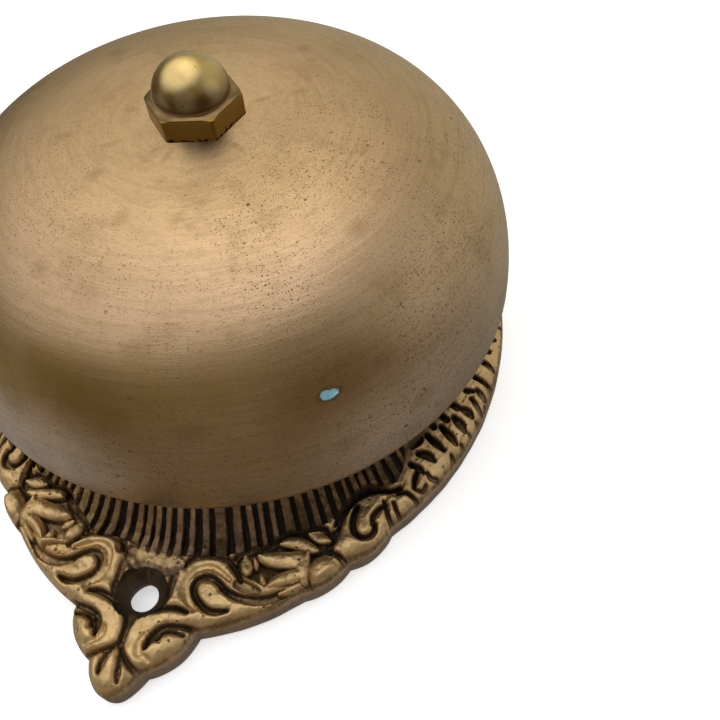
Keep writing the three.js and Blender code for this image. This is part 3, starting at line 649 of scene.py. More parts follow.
def quarter_outline():
    """From the tip to the widest point, for positive X and Y."""
    t = np.linspace(0, 1, 25)[:, None]
    p = np.array([[0, HALF_LENGTH], [1.9, HALF_LENGTH], [3.6, 72], TIP_NOTCH])
    r = 1 - t
    points = [r**3 * p[0] + 3 * t * r**2 * p[1] + 3 * t * t * r * p[2] + t**3 * p[3]]
    start = np.array(TIP_NOTCH)
    for end, bulge in LOBES:
        d = np.array(end) - start
        control = start + d / 2 + 2 * bulge * np.array([-d[1], d[0]]) / np.linalg.norm(d)
        points.append((r**2 * start + 2 * t * r * control + t * t * np.array(end))[1:])
        start = np.array(end)
    a0 = math.atan2(start[1] / OVAL_HALF_LENGTH, start[0] / HALF_WIDTH)
    a = np.linspace(a0, 0, 60)[1:]
    points.append(np.stack([HALF_WIDTH * np.cos(a), OVAL_HALF_LENGTH * np.sin(a)], -1))
    return np.concatenate(points)


QUARTER = quarter_outline()


def outline_radius(angle):
    """Distance from the centre to the plate's edge at each angle."""
    polar = np.arctan2(QUARTER[:, 1], QUARTER[:, 0])[::-1]
    radius = np.hypot(QUARTER[:, 0], QUARTER[:, 1])[::-1]
    folded = np.arctan2(np.abs(np.sin(angle)), np.abs(np.cos(angle)))
    return np.interp(folded, polar, radius)


def catmull(points, step=0.18):
    """Points of a Catmull-Rom curve through (x, y, width) triples."""
    p = np.array(points, float)
    if len(p) == 1:
        return p
    ends = np.vstack([2 * p[0] - p[1], p, 2 * p[-1] - p[-2]])
    out = []
    for i in range(1, len(ends) - 2):
        a, b, c, d = ends[i - 1 : i + 3]
        count = max(2, int(np.linalg.norm((c - b)[:2]) / step))
        t = (np.arange(count) / count)[:, None]
        square, cube = 2 * a - 5 * b + 4 * c - d, 3 * b - a - 3 * c + d
        out.append(0.5 * (2 * b + (c - a) * t + square * t**2 + cube * t**3))
    out.append(p[-1:])
    return np.vstack(out)


def stroke_distance(x, y, points, reach):
    """Distance outside a stroke's edge, and half its width there; far points get a large number."""
    curve = catmull(points)
    lo = curve[:, :2].min(0) - curve[:, 2].max() / 2 - reach
    hi = curve[:, :2].max(0) + curve[:, 2].max() / 2 + reach
    near = np.nonzero((x > lo[0]) & (x < hi[0]) & (y > lo[1]) & (y < hi[1]))[0]
    outside = np.full(x.shape, 99.0)
    half = np.ones(x.shape)
    for part in np.array_split(near, max(1, len(near) // 20000)):
        if len(part) == 0:
            continue
        cx, cy, width = curve.T[:, None]
        d = np.hypot(x[part, None] - cx, y[part, None] - cy) - width / 2
        k = d.argmin(1)
        outside[part] = d[np.arange(len(part)), k]
        half[part] = curve[k, 2] / 2
    return outside, half


def edge_distance(x, y, limit=4.0):
    """Distance from points inside the quarter to its outline, up to a limit."""
    out = np.full(x.shape, limit)
    near = np.nonzero(outline_radius(np.arctan2(y, x)) - np.hypot(x, y) < limit * 1.6)[0]
    a, b = QUARTER[:-1], QUARTER[1:]
    d = b - a
    length = (d**2).sum(1)
    for part in np.array_split(near, max(1, len(near) // 8000)):
        px, py = x[part, None] - a[None, :, 0], y[part, None] - a[None, :, 1]
        dx, dy = d.T[:, None]
        t = unit((px * dx + py * dy) / length[None])
        out[part] = np.minimum(limit, np.hypot(px - t * dx, py - t * dy).min(1))
    return out


def waves(x, y, wavelength, count=14, seed=1):
    """Smooth noise of about unit size from a sum of sine waves."""
    random = np.random.default_rng(seed)
    total = np.zeros(x.shape)
    for _ in range(count):
        direction = random.uniform(0, 2 * math.pi)
        k = 2 * math.pi / (wavelength * random.uniform(0.7, 1.5))
        along = x * math.cos(direction) + y * math.sin(direction)
        total += np.sin(k * along + random.uniform(0, 2 * math.pi))
    return total / math.sqrt(count / 2)


# Grooves between the raised scrolls of one quarter: (x, y, width) along the middle line, and the
# height of the bottom.
GROOVES = (
    # hook round the upper scroll's eye, and the long S below the leaf
    (5.2, [(14.8, 58.0, 0.3), (13.5, 58.5, 0.9), (12, 58.7, 1.0), (10.5, 58.1, 1.0),
           (9.2, 57.1, 1.0), (8.4, 55.9, 1.1), (8.4, 54.7, 1.2), (9.2, 53.8, 1.2),
           (10.4, 53.5, 1.1), (11.8, 53.9, 1.0), (13.2, 54.8, 1.0)]),
    (5.1, [(13, 54.8, 1.0), (14.6, 55.4, 1.2), (16.6, 55.7, 1.4), (18.8, 55.5, 1.5),
           (20.8, 54.7, 1.3), (22.6, 53.6, 1.2), (24, 52.6, 1.0), (25.3, 51.4, 0.7)]),
    # between the upper and the lower scroll
    (5.3, [(3.6, 60.2, 0.9), (5.2, 59.8, 0.8), (7, 59.5, 0.7), (8.7, 59.7, 0.4)]),
    # comma of the lower scroll
    (5.1, [(10.8, 61.9, 0.7), (8.8, 62.0, 0.8), (7, 62.3, 0.9), (5.6, 62.9, 1.0), (4.9, 64.0, 1.6),
           (4.4, 65.0, 1.4), (4.1, 66.2, 0.5)]),
    (5.2, [(5.6, 64.6, 0.8), (6.2, 63.6, 0.5), (7.4, 63.1, 0.4), (9.2, 63.1, 0.4)]),
    # valley on the centre line and round the palmette
    (5.0, [(0, 61.6, 2.6), (0, 63.4, 1.5), (0, 65.4, 1.2), (0.1, 67.0, 1.0)]),
    (5.2, [(0.1, 66.6, 1.0), (1.0, 67.9, 0.9), (2.3, 68.9, 0.9), (3.8, 69.7, 0.9),
           (5.2, 70.5, 1.0)]),
    (5.5, [(0.8, 68.0, 0.5), (1.2, 69.4, 0.8), (1.5, 70.8, 1.0), (1.7, 71.9, 0.5)]),
    # round the leaf and the boss
    (5.2, [(5.6, 52.4, 0.8), (6.4, 51.0, 0.8), (8, 50.2, 0.8), (10, 49.8, 0.8), (12, 49.9, 0.9),
           (13.4, 50.8, 0.9), (14.6, 52.0, 0.8), (15.4, 52.9, 0.8)]),
    (5.0, [(13.4, 49.6, 0.8), (14.2, 48.2, 1.2), (16, 47.2, 1.5), (18.2, 46.4, 1.5),
           (19.4, 45.2, 1.6), (20.8, 43.8, 1.2), (23, 43.1, 1.2), (24.4, 41.9, 1.2),
           (26.4, 41.5, 1.0), (28.4, 42.4, 1.2)]),
    (5.0, [(28.4, 44.9, 1.0), (26.8, 45.7, 1.0), (25.6, 47.0, 1.0), (25.2, 48.7, 1.0),
           (25.7, 50.4, 0.9), (26.6, 51.6, 0.6)]),
    (5.3, [(26.4, 45.9, 0.6), (28.2, 45.4, 0.8), (29.8, 45.5, 0.9), (31.0, 46.1, 0.9),
           (32.2, 46.6, 0.9)]),
    # ground between the flutes and the third scroll
    (5.0, [(27.6, 44.9, 1.2), (28.4, 43.2, 1.3), (28.6, 41.2, 1.3), (28.6, 39.2, 1.4),
           (29.2, 37.0, 1.3), (30.2, 35.2, 1.1), (31.6, 33.8, 0.9), (33.6, 32.9, 0.8),
           (35.8, 32.4, 0.7), (37.4, 31.6, 0.7)]),
    # third scroll: U, its curl and the hatching beside it
    (5.1, [(30.9, 36.4, 0.7), (30.8, 38.2, 0.9), (31.0, 39.9, 1.0), (31.7, 41.2, 1.0),
           (32.9, 41.7, 1.0), (34.1, 41.2, 0.9), (34.7, 40.0, 0.8), (34.5, 38.9, 0.6)]),
    (5.5, [(34.2, 39.0, 0.5), (34.0, 37.6, 0.7), (34.6, 36.2, 0.7), (35.6, 35.2, 0.5)]),
    (5.7, [(35.2, 34.6, 0.4), (36.0, 36.2, 0.6), (37.0, 37.8, 0.6), (38.2, 39.0, 0.5)]),
    (5.8, [(36.8, 34.4, 0.4), (37.7, 35.8, 0.6), (38.8, 37.0, 0.4)]),
    (5.4, [(37.2, 32.6, 0.6), (38.6, 32.2, 0.7), (40.2, 32.8, 0.7), (41.6, 33.8, 0.5)]),
    # leaves where the scale band begins
    (5.4, [(39.7, 27.6, 0.5), (39.5, 29.4, 0.6), (39.7, 31.0, 0.5)]),
    (5.7, [(41.4, 27.6, 0.5), (42.2, 28.4, 0.9), (43.2, 28.2, 0.6)]),
    (5.7, [(40.2, 31.2, 0.6), (41.2, 31.0, 0.5), (41.6, 29.8, 0.5)]),
    (5.8, [(43.2, 29.6, 0.7), (43.6, 30.4, 0.4)]),
)
# Shallow coves that follow a scroll's inner side.
COVES = (
    (6.55, [(13.6, 53.2, 0.6), (11.6, 52.4, 1.0), (9.8, 52.1, 1.1), (8, 52.9, 1.1),
            (7.1, 54.4, 1.1), (7.1, 56.0, 1.1), (8.0, 57.7, 1.1), (9.6, 59.0, 0.8)]),
    (6.6, [(3.2, 64.4, 0.6), (2.9, 65.8, 0.9), (3.6, 67.2, 0.9), (5.2, 67.9, 0.7)]),
)
# Recessed ground: broad, only a little below the scrolls.
GROUNDS = (
    (5.55, [(0, 52.4, 4.6), (2.6, 52.7, 4.0), (4.2, 52.2, 2.2)]),
    (5.6, [(4.5, 54.2, 1.0), (4.6, 56.2, 0.9), (4.7, 58.0, 0.9), (4.4, 59.2, 0.9)]),
    (5.8, [(15.4, 53.6, 1.6), (17.2, 54.0, 1.6), (18.6, 54.2, 1.0)]),
    (5.15, [(15.6, 50.2, 3.4), (18.2, 49.8, 5.2), (21, 48.6, 8.0), (23.4, 47.4, 7.0),
            (25.8, 44.2, 3.4), (27.2, 43.0, 2.0)]),
)
# Raised pieces that stand on that ground: (x, y, width) and height.
RAISED = (
    (7.0, [(20.2, 45.6, 0.7), (21.3, 45.0, 1.7), (23, 44.8, 2.0), (24.8, 45.2, 1.8),
           (26.2, 45.4, 0.9)]),
    (6.6, [(24.2, 42.7, 0.6), (25.2, 42.9, 1.5), (26.4, 43.1, 1.7), (27.8, 43.3, 0.8)]),
    (7.3, [(17.3, 48.4, 0.8), (18.5, 48.5, 1.9), (20.4, 48.3, 2.4), (22.4, 47.9, 2.6),
           (24, 47.7, 2.8), (24.9, 48.9, 2.2), (25.3, 50.3, 1.6)]),
    (7.2, [(20.3, 52.9, 0.9), (21.2, 51.9, 1.9), (22.7, 50.9, 2.1), (24.1, 50.2, 1.9),
           (25, 50, 1.4)]),
    (6.9, [(15.0, 48.9, 0.7), (15.4, 49.9, 1.6), (15.8, 50.9, 1.7), (16.1, 51.7, 0.8)]),
    (6.6, [(16.5, 48.9, 0.5), (17.1, 49.8, 0.9), (17.4, 50.6, 0.5)]),
    (6.8, [(18.6, 51.5, 0.6), (19.0, 52.4, 1.2), (19.6, 53.4, 1.0)]),
    (6.9, [(22.2, 53.7, 0.6), (23.6, 52.8, 1.1), (25.0, 51.8, 1.3)]),
    (7.1, [(24.9, 46.1, 0.8), (24.9, 47.4, 1.3), (25.0, 49.0, 1.4), (25.6, 50.9, 1.2)]),
    (6.3, [(27.0, 40.2, 0.5), (27.6, 41.2, 0.8), (28.4, 40.6, 0.4)]),
    (6.2, [(23.0, 42.2, 0.4), (21.6, 42.8, 0.7), (20.4, 43.2, 0.4)]),
    (6.3, [(29.0, 44.3, 0.4), (29.2, 43.3, 0.7), (29.0, 42.2, 0.4)]),
)
# Where the flutes stop and the scrollwork begins.
BORDER = (
    (0, 50.9), (4, 51.1), (6.4, 50.5), (8, 49.9), (12, 49.6), (14, 48.6), (15.4, 47.0), (18, 45.9),
    (19.6, 44.4), (21, 43.4), (23.5, 42.5), (26, 41.0), (28, 39.4), (28.8, 37.4), (30.0, 35.2),
    (32.2, 33.3), (35, 32.2), (36.8, 30.6), (37.3, 28.4), (37.2, 25.6), (38.2, 22.6), (39.6, 19.6),
    (41.0, 16.4), (42.0, 13.2), (42.8, 10.0), (43.4, 6.0), (43.6, 0),
)
# Slots and notches between the scales of the side band.
BAND = (
    (5.9, [(46.2, 6.3, 0.7), (48.2, 6.9, 0.8), (50.3, 7.8, 0.6)]),
    (6.1, [(47.3, 9.0, 0.7), (48.2, 9.7, 1.2), (48.9, 10.4, 0.6)]),
    (6.4, [(45.4, 9.8, 0.9), (46.5, 9.5, 0.7)]),
    (6.1, [(46.6, 11.2, 0.6), (47.8, 12.3, 0.9), (48.7, 13.3, 0.5)]),
    (5.9, [(45.3, 13.7, 0.9), (46.3, 14.0, 1.5), (47.2, 14.7, 0.8)]),
    (5.8, [(44.2, 15.9, 0.9), (45.3, 16.8, 1.7), (46.4, 17.9, 0.8)]),
    (5.8, [(42.3, 18.5, 0.8), (43.8, 19.6, 1.4), (45.3, 20.8, 0.7)]),
    (5.8, [(40.2, 20.9, 0.8), (41.7, 21.7, 1.2), (43.4, 22.7, 0.6)]),
    (5.9, [(39.3, 24.6, 0.8), (40.7, 24.5, 1.6), (42.0, 25.1, 0.7)]),
    (5.8, [(38.4, 27.0, 0.8), (39.8, 27.2, 0.9), (40.8, 27.8, 0.5)]),
    (6.6, [(43.1, 13.5, 0.9), (44.4, 13.8, 1.2)]),
    (6.6, [(41.5, 16.3, 0.9), (42.8, 16.7, 1.2)]),
    (6.6, [(39.9, 18.5, 0.8), (40.9, 18.9, 0.9)]),
    (6.2, [(38.1, 21.3, 1.2), (38.9, 22.2, 1.0), (37.7, 23.4, 1.3)]),
    (6.0, [(46.7, 2.6, 0.7), (48.3, 3.0, 1.1), (49.6, 3.6, 0.6)]),
    (6.1, [(46.9, 0, 0.9), (48.4, 0, 1.1)]),
    (6.0, [(49.3, 11.6, 0.3), (50.2, 12.2, 0.4)]),
    (5.8, [(48.2, 15.4, 0.4), (49.0, 16.2, 0.6)]),
    (5.8, [(47.2, 18.0, 0.4), (48.1, 18.8, 0.6)]),
    (5.8, [(46.2, 20.6, 0.4), (47.2, 21.4, 0.5)]),
    (5.7, [(44.9, 23.2, 0.4), (45.7, 24.6, 0.8), (46.0, 26.0, 0.5)]),
)


# strokes cut into the raised work: width of the shoulder, share of the drawn depth and of the
# drawn width that is cut, and the dirt in them
CUTS = (
    (GROUNDS, 0.7, 0.9, 1.0, 0.8),
    (COVES, 0.8, 1.0, 1.0, 0.0),
    (GROOVES, 0.85, 0.85, 0.72, 1.0),
    (BAND, 0.6, 0.9, 0.9, 0.8),
)


def flutes(x, y, inner, by_hole, quarter_radius):
    """Height of the fluted rise, and how deep in a flute each point lies."""
    radius, angle = np.hypot(x, y), np.arctan2(y, x)
    # cut by hand: pitch and width wander round the plate, and lands right of the hole are broad
    wander = 1.3 * np.sin(9 * angle + 1) + 0.8 * np.sin(17 * angle + 2) + 0.5 * np.sin(31 * angle)
    wander = wander - math.pi * np.tanh((angle + 1.37) / 0.09) + 0.1 * waves(x, y, 9, seed=6)
    land = 0.5 + 0.5 * np.cos(FLUTES * angle + wander)
    wide = 0.5 + 0.14 * np.sin(23 * angle + 4) + 0.1 * np.sin(47 * angle)
    wide = wide + 0.03 * waves(x, y, 3, seed=16)
    groove = eased(unit((wide - land) / 0.3))
    # they end in a round at the scrolls and under the gong, and fade out by the screw hole
    foot = inner + 1.4 * by_hole + 0.5 * np.sin(37 * angle) * by_hole
    ends = unit((foot - quarter_radius) / (0.9 + 3.4 * by_hole)) * unit((radius - 40.6) / 0.8)
    ends = arched(ends) * (1 - by_hole) + ends * by_hole
    return np.interp(radius, *zip(*FLANK)) - FLUTE_DEPTH * groove * ends, groove * ends


def carving(top, qx, qy):
    """Height of the raised work once it is cut, and the dirt in its hollows."""
    height = top.copy()
    hollow_and_shade = np.zeros(top.shape)
    for strokes, shoulder, depth, width, dirt_and_shade in CUTS:
        for floor, points in strokes:
            points = [(px, py, w * width) for px, py, w in points]
            floor = TOP - (TOP - floor) * depth
            outside, half = stroke_distance(qx, qy, points, 3.0)
            rise = arched(unit(outside / shoulder))
            bottom = floor - 0.25 * unit(-outside / half)
            height = np.minimum(height, bottom + (top - floor) * rise)
            line = np.exp(-(((outside - 0.05) / 0.2) ** 2))
            inside = unit(0.5 - outside / 0.2)
            hollow_and_shade = np.maximum(hollow_and_shade, dirt_and_shade * np.maximum(0.2 * inside, 0.8 * line))
    for crest, points in RAISED:
        points = [(px, py, w * RAISED_WIDTH) for px, py, w in points]
        outside, half = stroke_distance(qx, qy, points, 1.0)
        u = unit(-outside / half)
        bulge = arched(u) ** 0.8
        made = np.where(outside < 0, GROUND - 0.3 + (crest - GROUND + 0.3) * bulge, -9)
        line = np.exp(-(((outside - 0.1) / 0.25) ** 2))
        hollow_and_shade = hollow_and_shade * np.where(outside < 0, 1 - unit(u * 3), 1)
        hollow_and_shade = np.maximum(hollow_and_shade, np.where(made > height - 0.9, line, 0))
        height = np.maximum(height, made)
    return height, hollow_and_shade


def relief(x, y):
    """Height of the plate's front at each point, and how dark it is: patina in the hollows, and
    painted shade on the fluted rise under the gong.
    """
    # a hand-made casting: each other quarter differs a little from the one that the photo shows
    other = unit(1 - np.minimum(unit(x / 6), unit(-y / 6)))
    wx = 0.28 * other * waves(x, y, 11, seed=3)
    wy = 0.28 * other * waves(x, y, 11, seed=4)
    qx, qy = np.abs(x + wx * unit(np.abs(x) / 4)), np.abs(y + wy)
    quarter_angle = np.arctan2(qy, qx)
    quarter_radius = np.hypot(qx, qy)
    border = np.array(BORDER, float)
    border_angle = np.arctan2(border[:, 1], border[:, 0])[::-1]
    border_radius = np.hypot(border[:, 0], border[:, 1])[::-1]
    inner = np.interp(quarter_angle, border_angle, border_radius) + 0.12 * waves(x, y, 5, seed=5)
    by_hole = unit((8.5 - qx) / 3) * unit((qy - 40) / 4)

    fluted, in_flute = flutes(x, y, inner, by_hole, quarter_radius)
    in_band = eased(unit((BAND_END - quarter_angle) / BAND_FADE))
    top = TOP + 0.12 * waves(x, y, 7, seed=8)
    top = top * (1 - in_band) + np.interp(quarter_radius, *zip(*BAND_CROWN)) * in_band
    top = top - 0.15 * unit((qy - 66.5) / 3)  # the point is a little lower
    height, hollow_and_shade = carving(top, qx, qy)

    blend = eased(unit((quarter_radius - inner) / 0.55 + 0.5))
    height = fluted * (1 - blend) + np.maximum(height, LOWEST) * blend
    # the fluted rise is painted dark as painted shade under the gong, most at the right, and less
    # on the ledge by the screw hole
    dirt_and_shade = 0.8 + 0.25 * unit((x - 20) / 10) - 0.25 * by_hole * unit((quarter_radius - 47) / 3)
    hollow_and_shade = np.maximum(hollow_and_shade * blend, np.maximum(in_flute, dirt_and_shade) * (1 - blend))

    # the rim rolls over the edge, and the round boss stands right on it
    edge = edge_distance(np.abs(x), np.abs(y))
    height = EDGE_HEIGHT + (height - EDGE_HEIGHT) * arched(unit(edge / EDGE_ROLL))
    apart = np.hypot(qx - BOSS[0], qy - BOSS[1]) / BOSS[2]
    dome = EDGE_HEIGHT + (BOSS[3] - EDGE_HEIGHT) * np.sqrt(unit(1 - apart**3)) ** 0.9
    dome = EDGE_HEIGHT + (dome - EDGE_HEIGHT) * arched(unit(edge / BOSS_ROLL))
    height = np.where(apart < 1, np.maximum(height, dome), height)
    hollow_and_shade = np.where(apart < 0.95, hollow_and_shade * unit(5 * (apart - 0.75)), hollow_and_shade)
    skin = 0.04 * waves(x, y, 2.6, seed=9) + 0.02 * waves(x, y, 1.2, seed=10)
    return height + (skin + 0.01 * waves(x, y, 0.6, seed=13)), hollow_and_shade


def blurred(grid, sigma):
    size = int(3 * sigma)
    kernel = np.exp(-0.5 * (np.arange(-size, size + 1) / sigma) ** 2)
    kernel /= kernel.sum()
    for axis in (0, 1):
        padded = np.pad(grid, [(size, size) if k == axis else (0, 0) for k in (0, 1)], mode="edge")
        grid = np.apply_along_axis(lambda row: np.convolve(row, kernel, "valid"), axis, padded)
    return grid


class Cavity:
    """How far a point of the front lies below its surroundings, on a square grid of points."""

    STEP = 0.3
    PLATEAU_RADIUS = 38

    def __init__(self):
        self.x0, self.y0 = -HALF_WIDTH - 1, -HALF_LENGTH - 1
        xs = np.arange(self.x0, HALF_WIDTH + 1, self.STEP)
        ys = np.arange(self.y0, HALF_LENGTH + 1, self.STEP)
        gx, gy = np.meshgrid(xs, ys, indexing="ij")
        fx, fy = gx.ravel(), gy.ravel()
        radius = np.hypot(fx, fy)
        plateau = radius <= self.PLATEAU_RADIUS
        inside = (radius < outline_radius(np.arctan2(fy, fx))) & ~plateau
        height = np.full(fx.shape, GROUND)
        height[inside], _ = relief(fx[inside], fy[inside])
        height[plateau] = PLATEAU
        height = height.reshape(gx.shape)
        near = blurred(height, 0.9 / self.STEP) - height
        far = blurred(height, 2.4 / self.STEP) - height
        self.grid = 0.3 * near + 0.2 * far

    def at(self, x, y):
        u = np.clip((x - self.x0) / self.STEP, 0, self.grid.shape[0] - 1.001)
        v = np.clip((y - self.y0) / self.STEP, 0, self.grid.shape[1] - 1.001)
        i, j = u.astype(int), v.astype(int)
        a, b = u - i, v - j
        g = self.grid
        near = g[i, j] * (1 - a) * (1 - b) + g[i + 1, j] * a * (1 - b)
        return near + g[i, j + 1] * (1 - a) * b + g[i + 1, j + 1] * a * b


SECTORS = 2160
# rings of the front: radii before and after the evenly spread ones, the latter from the outline in
FIRST_RINGS = (39.0, 40.4, 41.2, 42.0, 42.8, 43.6)
SPREAD_RINGS = (44.4, 0.9, 124)  # first radius, distance left to the outline, and how many
LAST_RINGS = (0.7, 0.5, 0.33, 0.2, 0.1, 0.03)
# the upright edge: distance in from the outline, and height
EDGE_RINGS = ((0.0, EDGE_HEIGHT), (0.0, 3.0), (0.03, 2.0), (0.08, 1.0), (0.2, 0.35), (0.5, 0.0))
# the hollow in the back: radius and height
BACK_RINGS = (
    (44.6, 0.0), (44.2, 0.12), (43.8, 3.0), (43.4, 3.8), (42.4, 6.0), (41.3, 7.8), (39.2, 10.0),
    (37.6, 10.9), (36.6, UNDERSIDE), (30.0, UNDERSIDE),
)
# outlines of the cutters that make the holes: radius and height
SCREW_HOLE = (
    (0, -1), (3.6, -1), (3.6, 2.2), (3.4, 2.7), (2.55, 2.9), (2.4, 3.1), (2.4, 4.0), (2.5, 4.25),
    (4.05, 5.6), (4.2, 5.8), (4.35, 6.3), (4.5, 7.5), (4.6, 16), (0, 16),
)
KEY_BUSH_HOLE = ((0, 9), (8.9, 9), (8.9, 16), (0, 16))
STRIKER_BUSH_HOLE = ((0, 9), (4.0, 9), (4.0, 16), (0, 16))
PILLAR_SCREW_HOLE = ((0, 10), (4.25, 10), (1.8, 12.7), (1.8, 16), (0, 16))


def plate_mesh():
    """The casting before its holes are cut: rings from the plateau over the edge to the back."""
    angle = np.arange(SECTORS) * 2 * math.pi / SECTORS
    cos, sin = np.cos(angle), np.sin(angle)
    rim = outline_radius(angle)
    start, inset, number = SPREAD_RINGS
    radii = [np.full(SECTORS, r) for r in FIRST_RINGS]
    radii += [start + (rim - inset - start) * t for t in np.linspace(0, 1, number)]
    radii = np.array(radii + [rim - d for d in LAST_RINGS])
    x, y = radii * cos, radii * sin
    z = relief(x.ravel(), y.ravel())[0].reshape(x.shape)
    z[:2] = PLATEAU
    layers = [np.stack([x, y, z], -1)]

    def layer(radius, height):
        radius = np.broadcast_to(radius, (SECTORS,))
        height = np.broadcast_to(height, (SECTORS,))
        layers.append(np.stack([radius * cos, radius * sin, height], -1)[None])

    lump = 0.12 * waves(rim * cos, rim * sin, 6, seed=12)
    for inset, height in EDGE_RINGS:
        layer(rim - inset + lump * (EDGE_HEIGHT - height) * 0.1, height)
    for radius, height in BACK_RINGS:
        layer(radius, height)
    grid = np.concatenate(layers)
    rows = grid.shape[0]
    k, i = np.meshgrid(np.arange(rows - 1), np.arange(SECTORS), indexing="ij")
    j = (i + 1) % SECTORS
    here, after = k * SECTORS, (k + 1) * SECTORS
    quads = np.stack([here + i, after + i, after + j, here + j], -1).reshape(-1, 4)
    faces = [tuple(f) for f in quads.tolist()]
    faces.append(tuple(range(SECTORS)))
    faces.append(tuple(range((rows - 1) * SECTORS, rows * SECTORS))[::-1])
    return grid.reshape(-1, 3), faces


def build_plate(material):
    obj = make_object("plate_casting", *plate_mesh(), material, 50.0)
    cutters = [
        (SCREW_HOLE, 64, (0, HOLE_Y)),
        (SCREW_HOLE, 64, (0, -HOLE_Y)),
        (KEY_BUSH_HOLE, 96, (0, 0)),
        (STRIKER_BUSH_HOLE, 48, centre_of("striker_bush_lower")),
    ]
    cutters += [(PILLAR_SCREW_HOLE, 48, centre_of(f"pillar_screw_{k}")) for k in (1, 2, 3)]
    vertices, faces = [], []
    for profile, segments, centre in cutters:
        turned, turned_faces = lathe_mesh(profile, segments)
        base = len(vertices)
        vertices += (turned + np.array([*centre, 0])).tolist()
        faces += [tuple(n + base for n in face) for face in turned_faces]
    cutter = make_object("cutter", vertices, faces, material)
    clean(cutter.data)
    boolean(obj, cutter)
    paint_patina_and_shade(obj)
    shade(obj.data, 50.0)
    place(obj, "frame", "back_plate")


def paint_patina_and_shade(obj):
    """Stores how dark each vertex is, for the material, from patina in the hollows and from painted
    shade: 0 is worn bright and 1 is black.
    """
    mesh = obj.data
    co = np.zeros(len(mesh.vertices) * 3)
    mesh.vertices.foreach_get("co", co)
    x, y, z = (co.reshape(-1, 3) / MM).T
    patina_and_shade = np.clip(Cavity().at(x, y) + 0.7 * relief(x, y)[1], -0.5, 1.2)
    # the right side is a little darker than the left
    patina_and_shade += 0.1 * np.clip((x - 2) / 16, -1, 1)
    # the rolled edge is fairly clean
    radius = np.hypot(x, y)
    rim = outline_radius(np.arctan2(y, x))
    rolled = unit((EDGE_HEIGHT + 1.6 - z) / 1.4) * unit((2.0 - rim + radius) / 0.8)
    patina_and_shade = patina_and_shade * (1 - rolled) + 0.15 * rolled
    # the back and its hollow are evenly dull
    front = np.interp(radius, *zip(*FLANK))
    hidden = (z < 0.3) | ((radius < 44.7) & (z < front - 1.6))
    patina_and_shade = np.where(hidden, 0.5, patina_and_shade)
    # the countersinks are dark, and their bores are painted black: painted shade
    hole = np.hypot(x, np.abs(y) - HOLE_Y)
    patina_and_shade = np.where(hole < 4.6, np.maximum(patina_and_shade, 0.8), patina_and_shade)
    patina_and_shade = np.where((hole < 3.7) & (z < 4.1), 1.2, patina_and_shade)
    attribute = mesh.attributes.new("patina_and_shade", "FLOAT", "POINT")
    attribute.data.foreach_set("value", patina_and_shade.astype(np.float32))


# ---------------- studio
FLOOR_REACH = 3.0  # half its side, in metres


def build_floor():
    a = FLOOR_REACH
    mesh = bpy.data.meshes.new("floor")
    mesh.from_pydata([(-a, -a, 0), (a, -a, 0), (a, a, 0), (-a, a, 0)], [], [(0, 1, 2, 3)])
    obj = add_object("floor", mesh)
    obj.location.z = -0.2 * MM
    s = Shader("pale_floor")
    s.set(color=(0.9, 0.9, 0.9), rough=0.9)
    s.bsdf.inputs["Specular IOR Level"].default_value = 0.0
    s.bsdf.inputs["Emission Color"].default_value = (1, 1, 1, 1)
    s.bsdf.inputs["Emission Strength"].default_value = 0.5
    mesh.materials.append(s.material)
    obj.visible_glossy = False


STUDIO_LEVEL = 0.14
WARM_LEVELS = (0.14, 0.42)  # the dimmer the light, the warmer
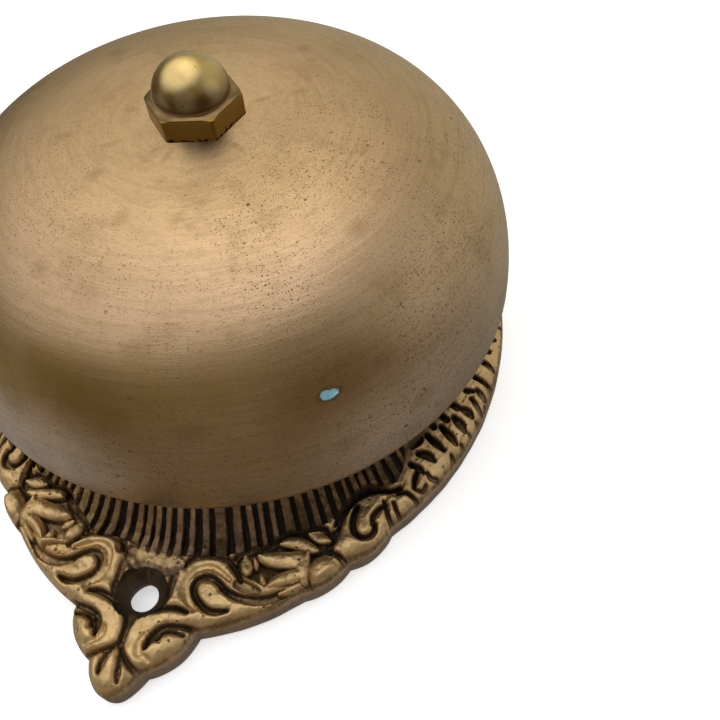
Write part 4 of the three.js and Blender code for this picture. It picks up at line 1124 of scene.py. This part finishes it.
# direction of a soft pale area, cosines where it begins and where it is full, and its brightness
PALE_AREAS = (
    ((0.45, 0.85, 0.4), 0.0, 0.92, 0.46),
    ((-0.38, 0.02, 0.92), 0.5, 0.9, 1.04),
    ((0.55, -0.5, 0.68), 0.88, 1.0, 0.12),
    ((0.25, -0.2, 0.94), 0.92, 1.0, 0.24),
    ((0.95, 0.06, 0.28), 0.84, 1.0, 0.2),
    ((0.0, -0.97, 0.25), 0.74, 1.0, 0.2),
    ((0.78, -0.2, -0.6), 0.82, 1.0, 0.19),
    ((-0.8, -0.29, -0.53), 0.76, 1.0, 0.26),
    ((-0.88, -0.45, 0.05), 0.88, 1.0, 0.13),
    ((-0.12, 0.25, 0.95), 0.86, 1.0, 0.22),
    ((0.0, -0.2, -1.0), 0.1, 0.95, 0.1),
)
SEEN_DIRECTLY = 0.95  # brightness of the plain background behind the bell


def build_world():
    world = bpy.data.worlds.new("studio")
    world.use_nodes = True
    bpy.context.scene.world = world
    s = Nodes(world.node_tree)
    background = s.tree.nodes["Background"]
    direction = s.add("ShaderNodeTexCoord").outputs["Generated"]

    def area(towards, low, high, amount):
        """Brightness that grows smoothly towards one direction."""
        towards = Vector(towards).normalized()
        dot = s.add("ShaderNodeVectorMath", {"operation": "DOT_PRODUCT"}, i0=direction, i1=towards)
        return s.smooth(dot.outputs["Value"], low, high, 0.0, amount)

    level = STUDIO_LEVEL
    for pale in PALE_AREAS:
        level = s.sum(area(*pale), level)
    tint = s.mix(s.smooth(level, *WARM_LEVELS), (1.0, 0.76, 0.42), (1.0, 1.0, 1.03))
    tint = s.mix(area((-0.1, 1.0, 0.0), 0.0, 0.8, 0.8), tint, (1.0, 0.96, 0.7))
    # seen directly, the studio is plain and pale
    seen = s.add("ShaderNodeLightPath").outputs["Is Camera Ray"]
    sockets = {"Value": seen, "To Min": level, "To Max": SEEN_DIRECTLY}
    strength = s.add("ShaderNodeMapRange", **sockets).outputs[0]
    s.feed(background.inputs["Strength"], strength)
    s.feed(background.inputs["Color"], s.mix(seen, tint, (1.0, 1.0, 1.0)))


# ---------------- build
bpy.context.scene.view_settings.view_transform = "Standard"

# finishes of the inner pieces, by their material slot
FINISHES = {
    "turned_brass": metal_material(
        "turned_brass", (0.56, 0.38, 0.16), (0.34, 0.215, 0.085), 0.34
    ),
    "steel": metal_material("oiled_steel", (0.36, 0.35, 0.33), (0.2, 0.18, 0.155), 0.38),
    "leather": leather_material(),
}

build_gong(gong_material())
build_acorn(nut_material())
build_plate(cast_material())

BODIES = {n: b for b, nodes in frame["record"]["behaviour"]["bodies"].items() for n in nodes}
for subpart in frame["record"]["subparts"]:
    node, slot = subpart["node"], subpart["material_slot"]
    if slot in FINISHES:
        place(refined(node, FINISHES[slot]), BODIES[node], node)

build_floor()
build_world()
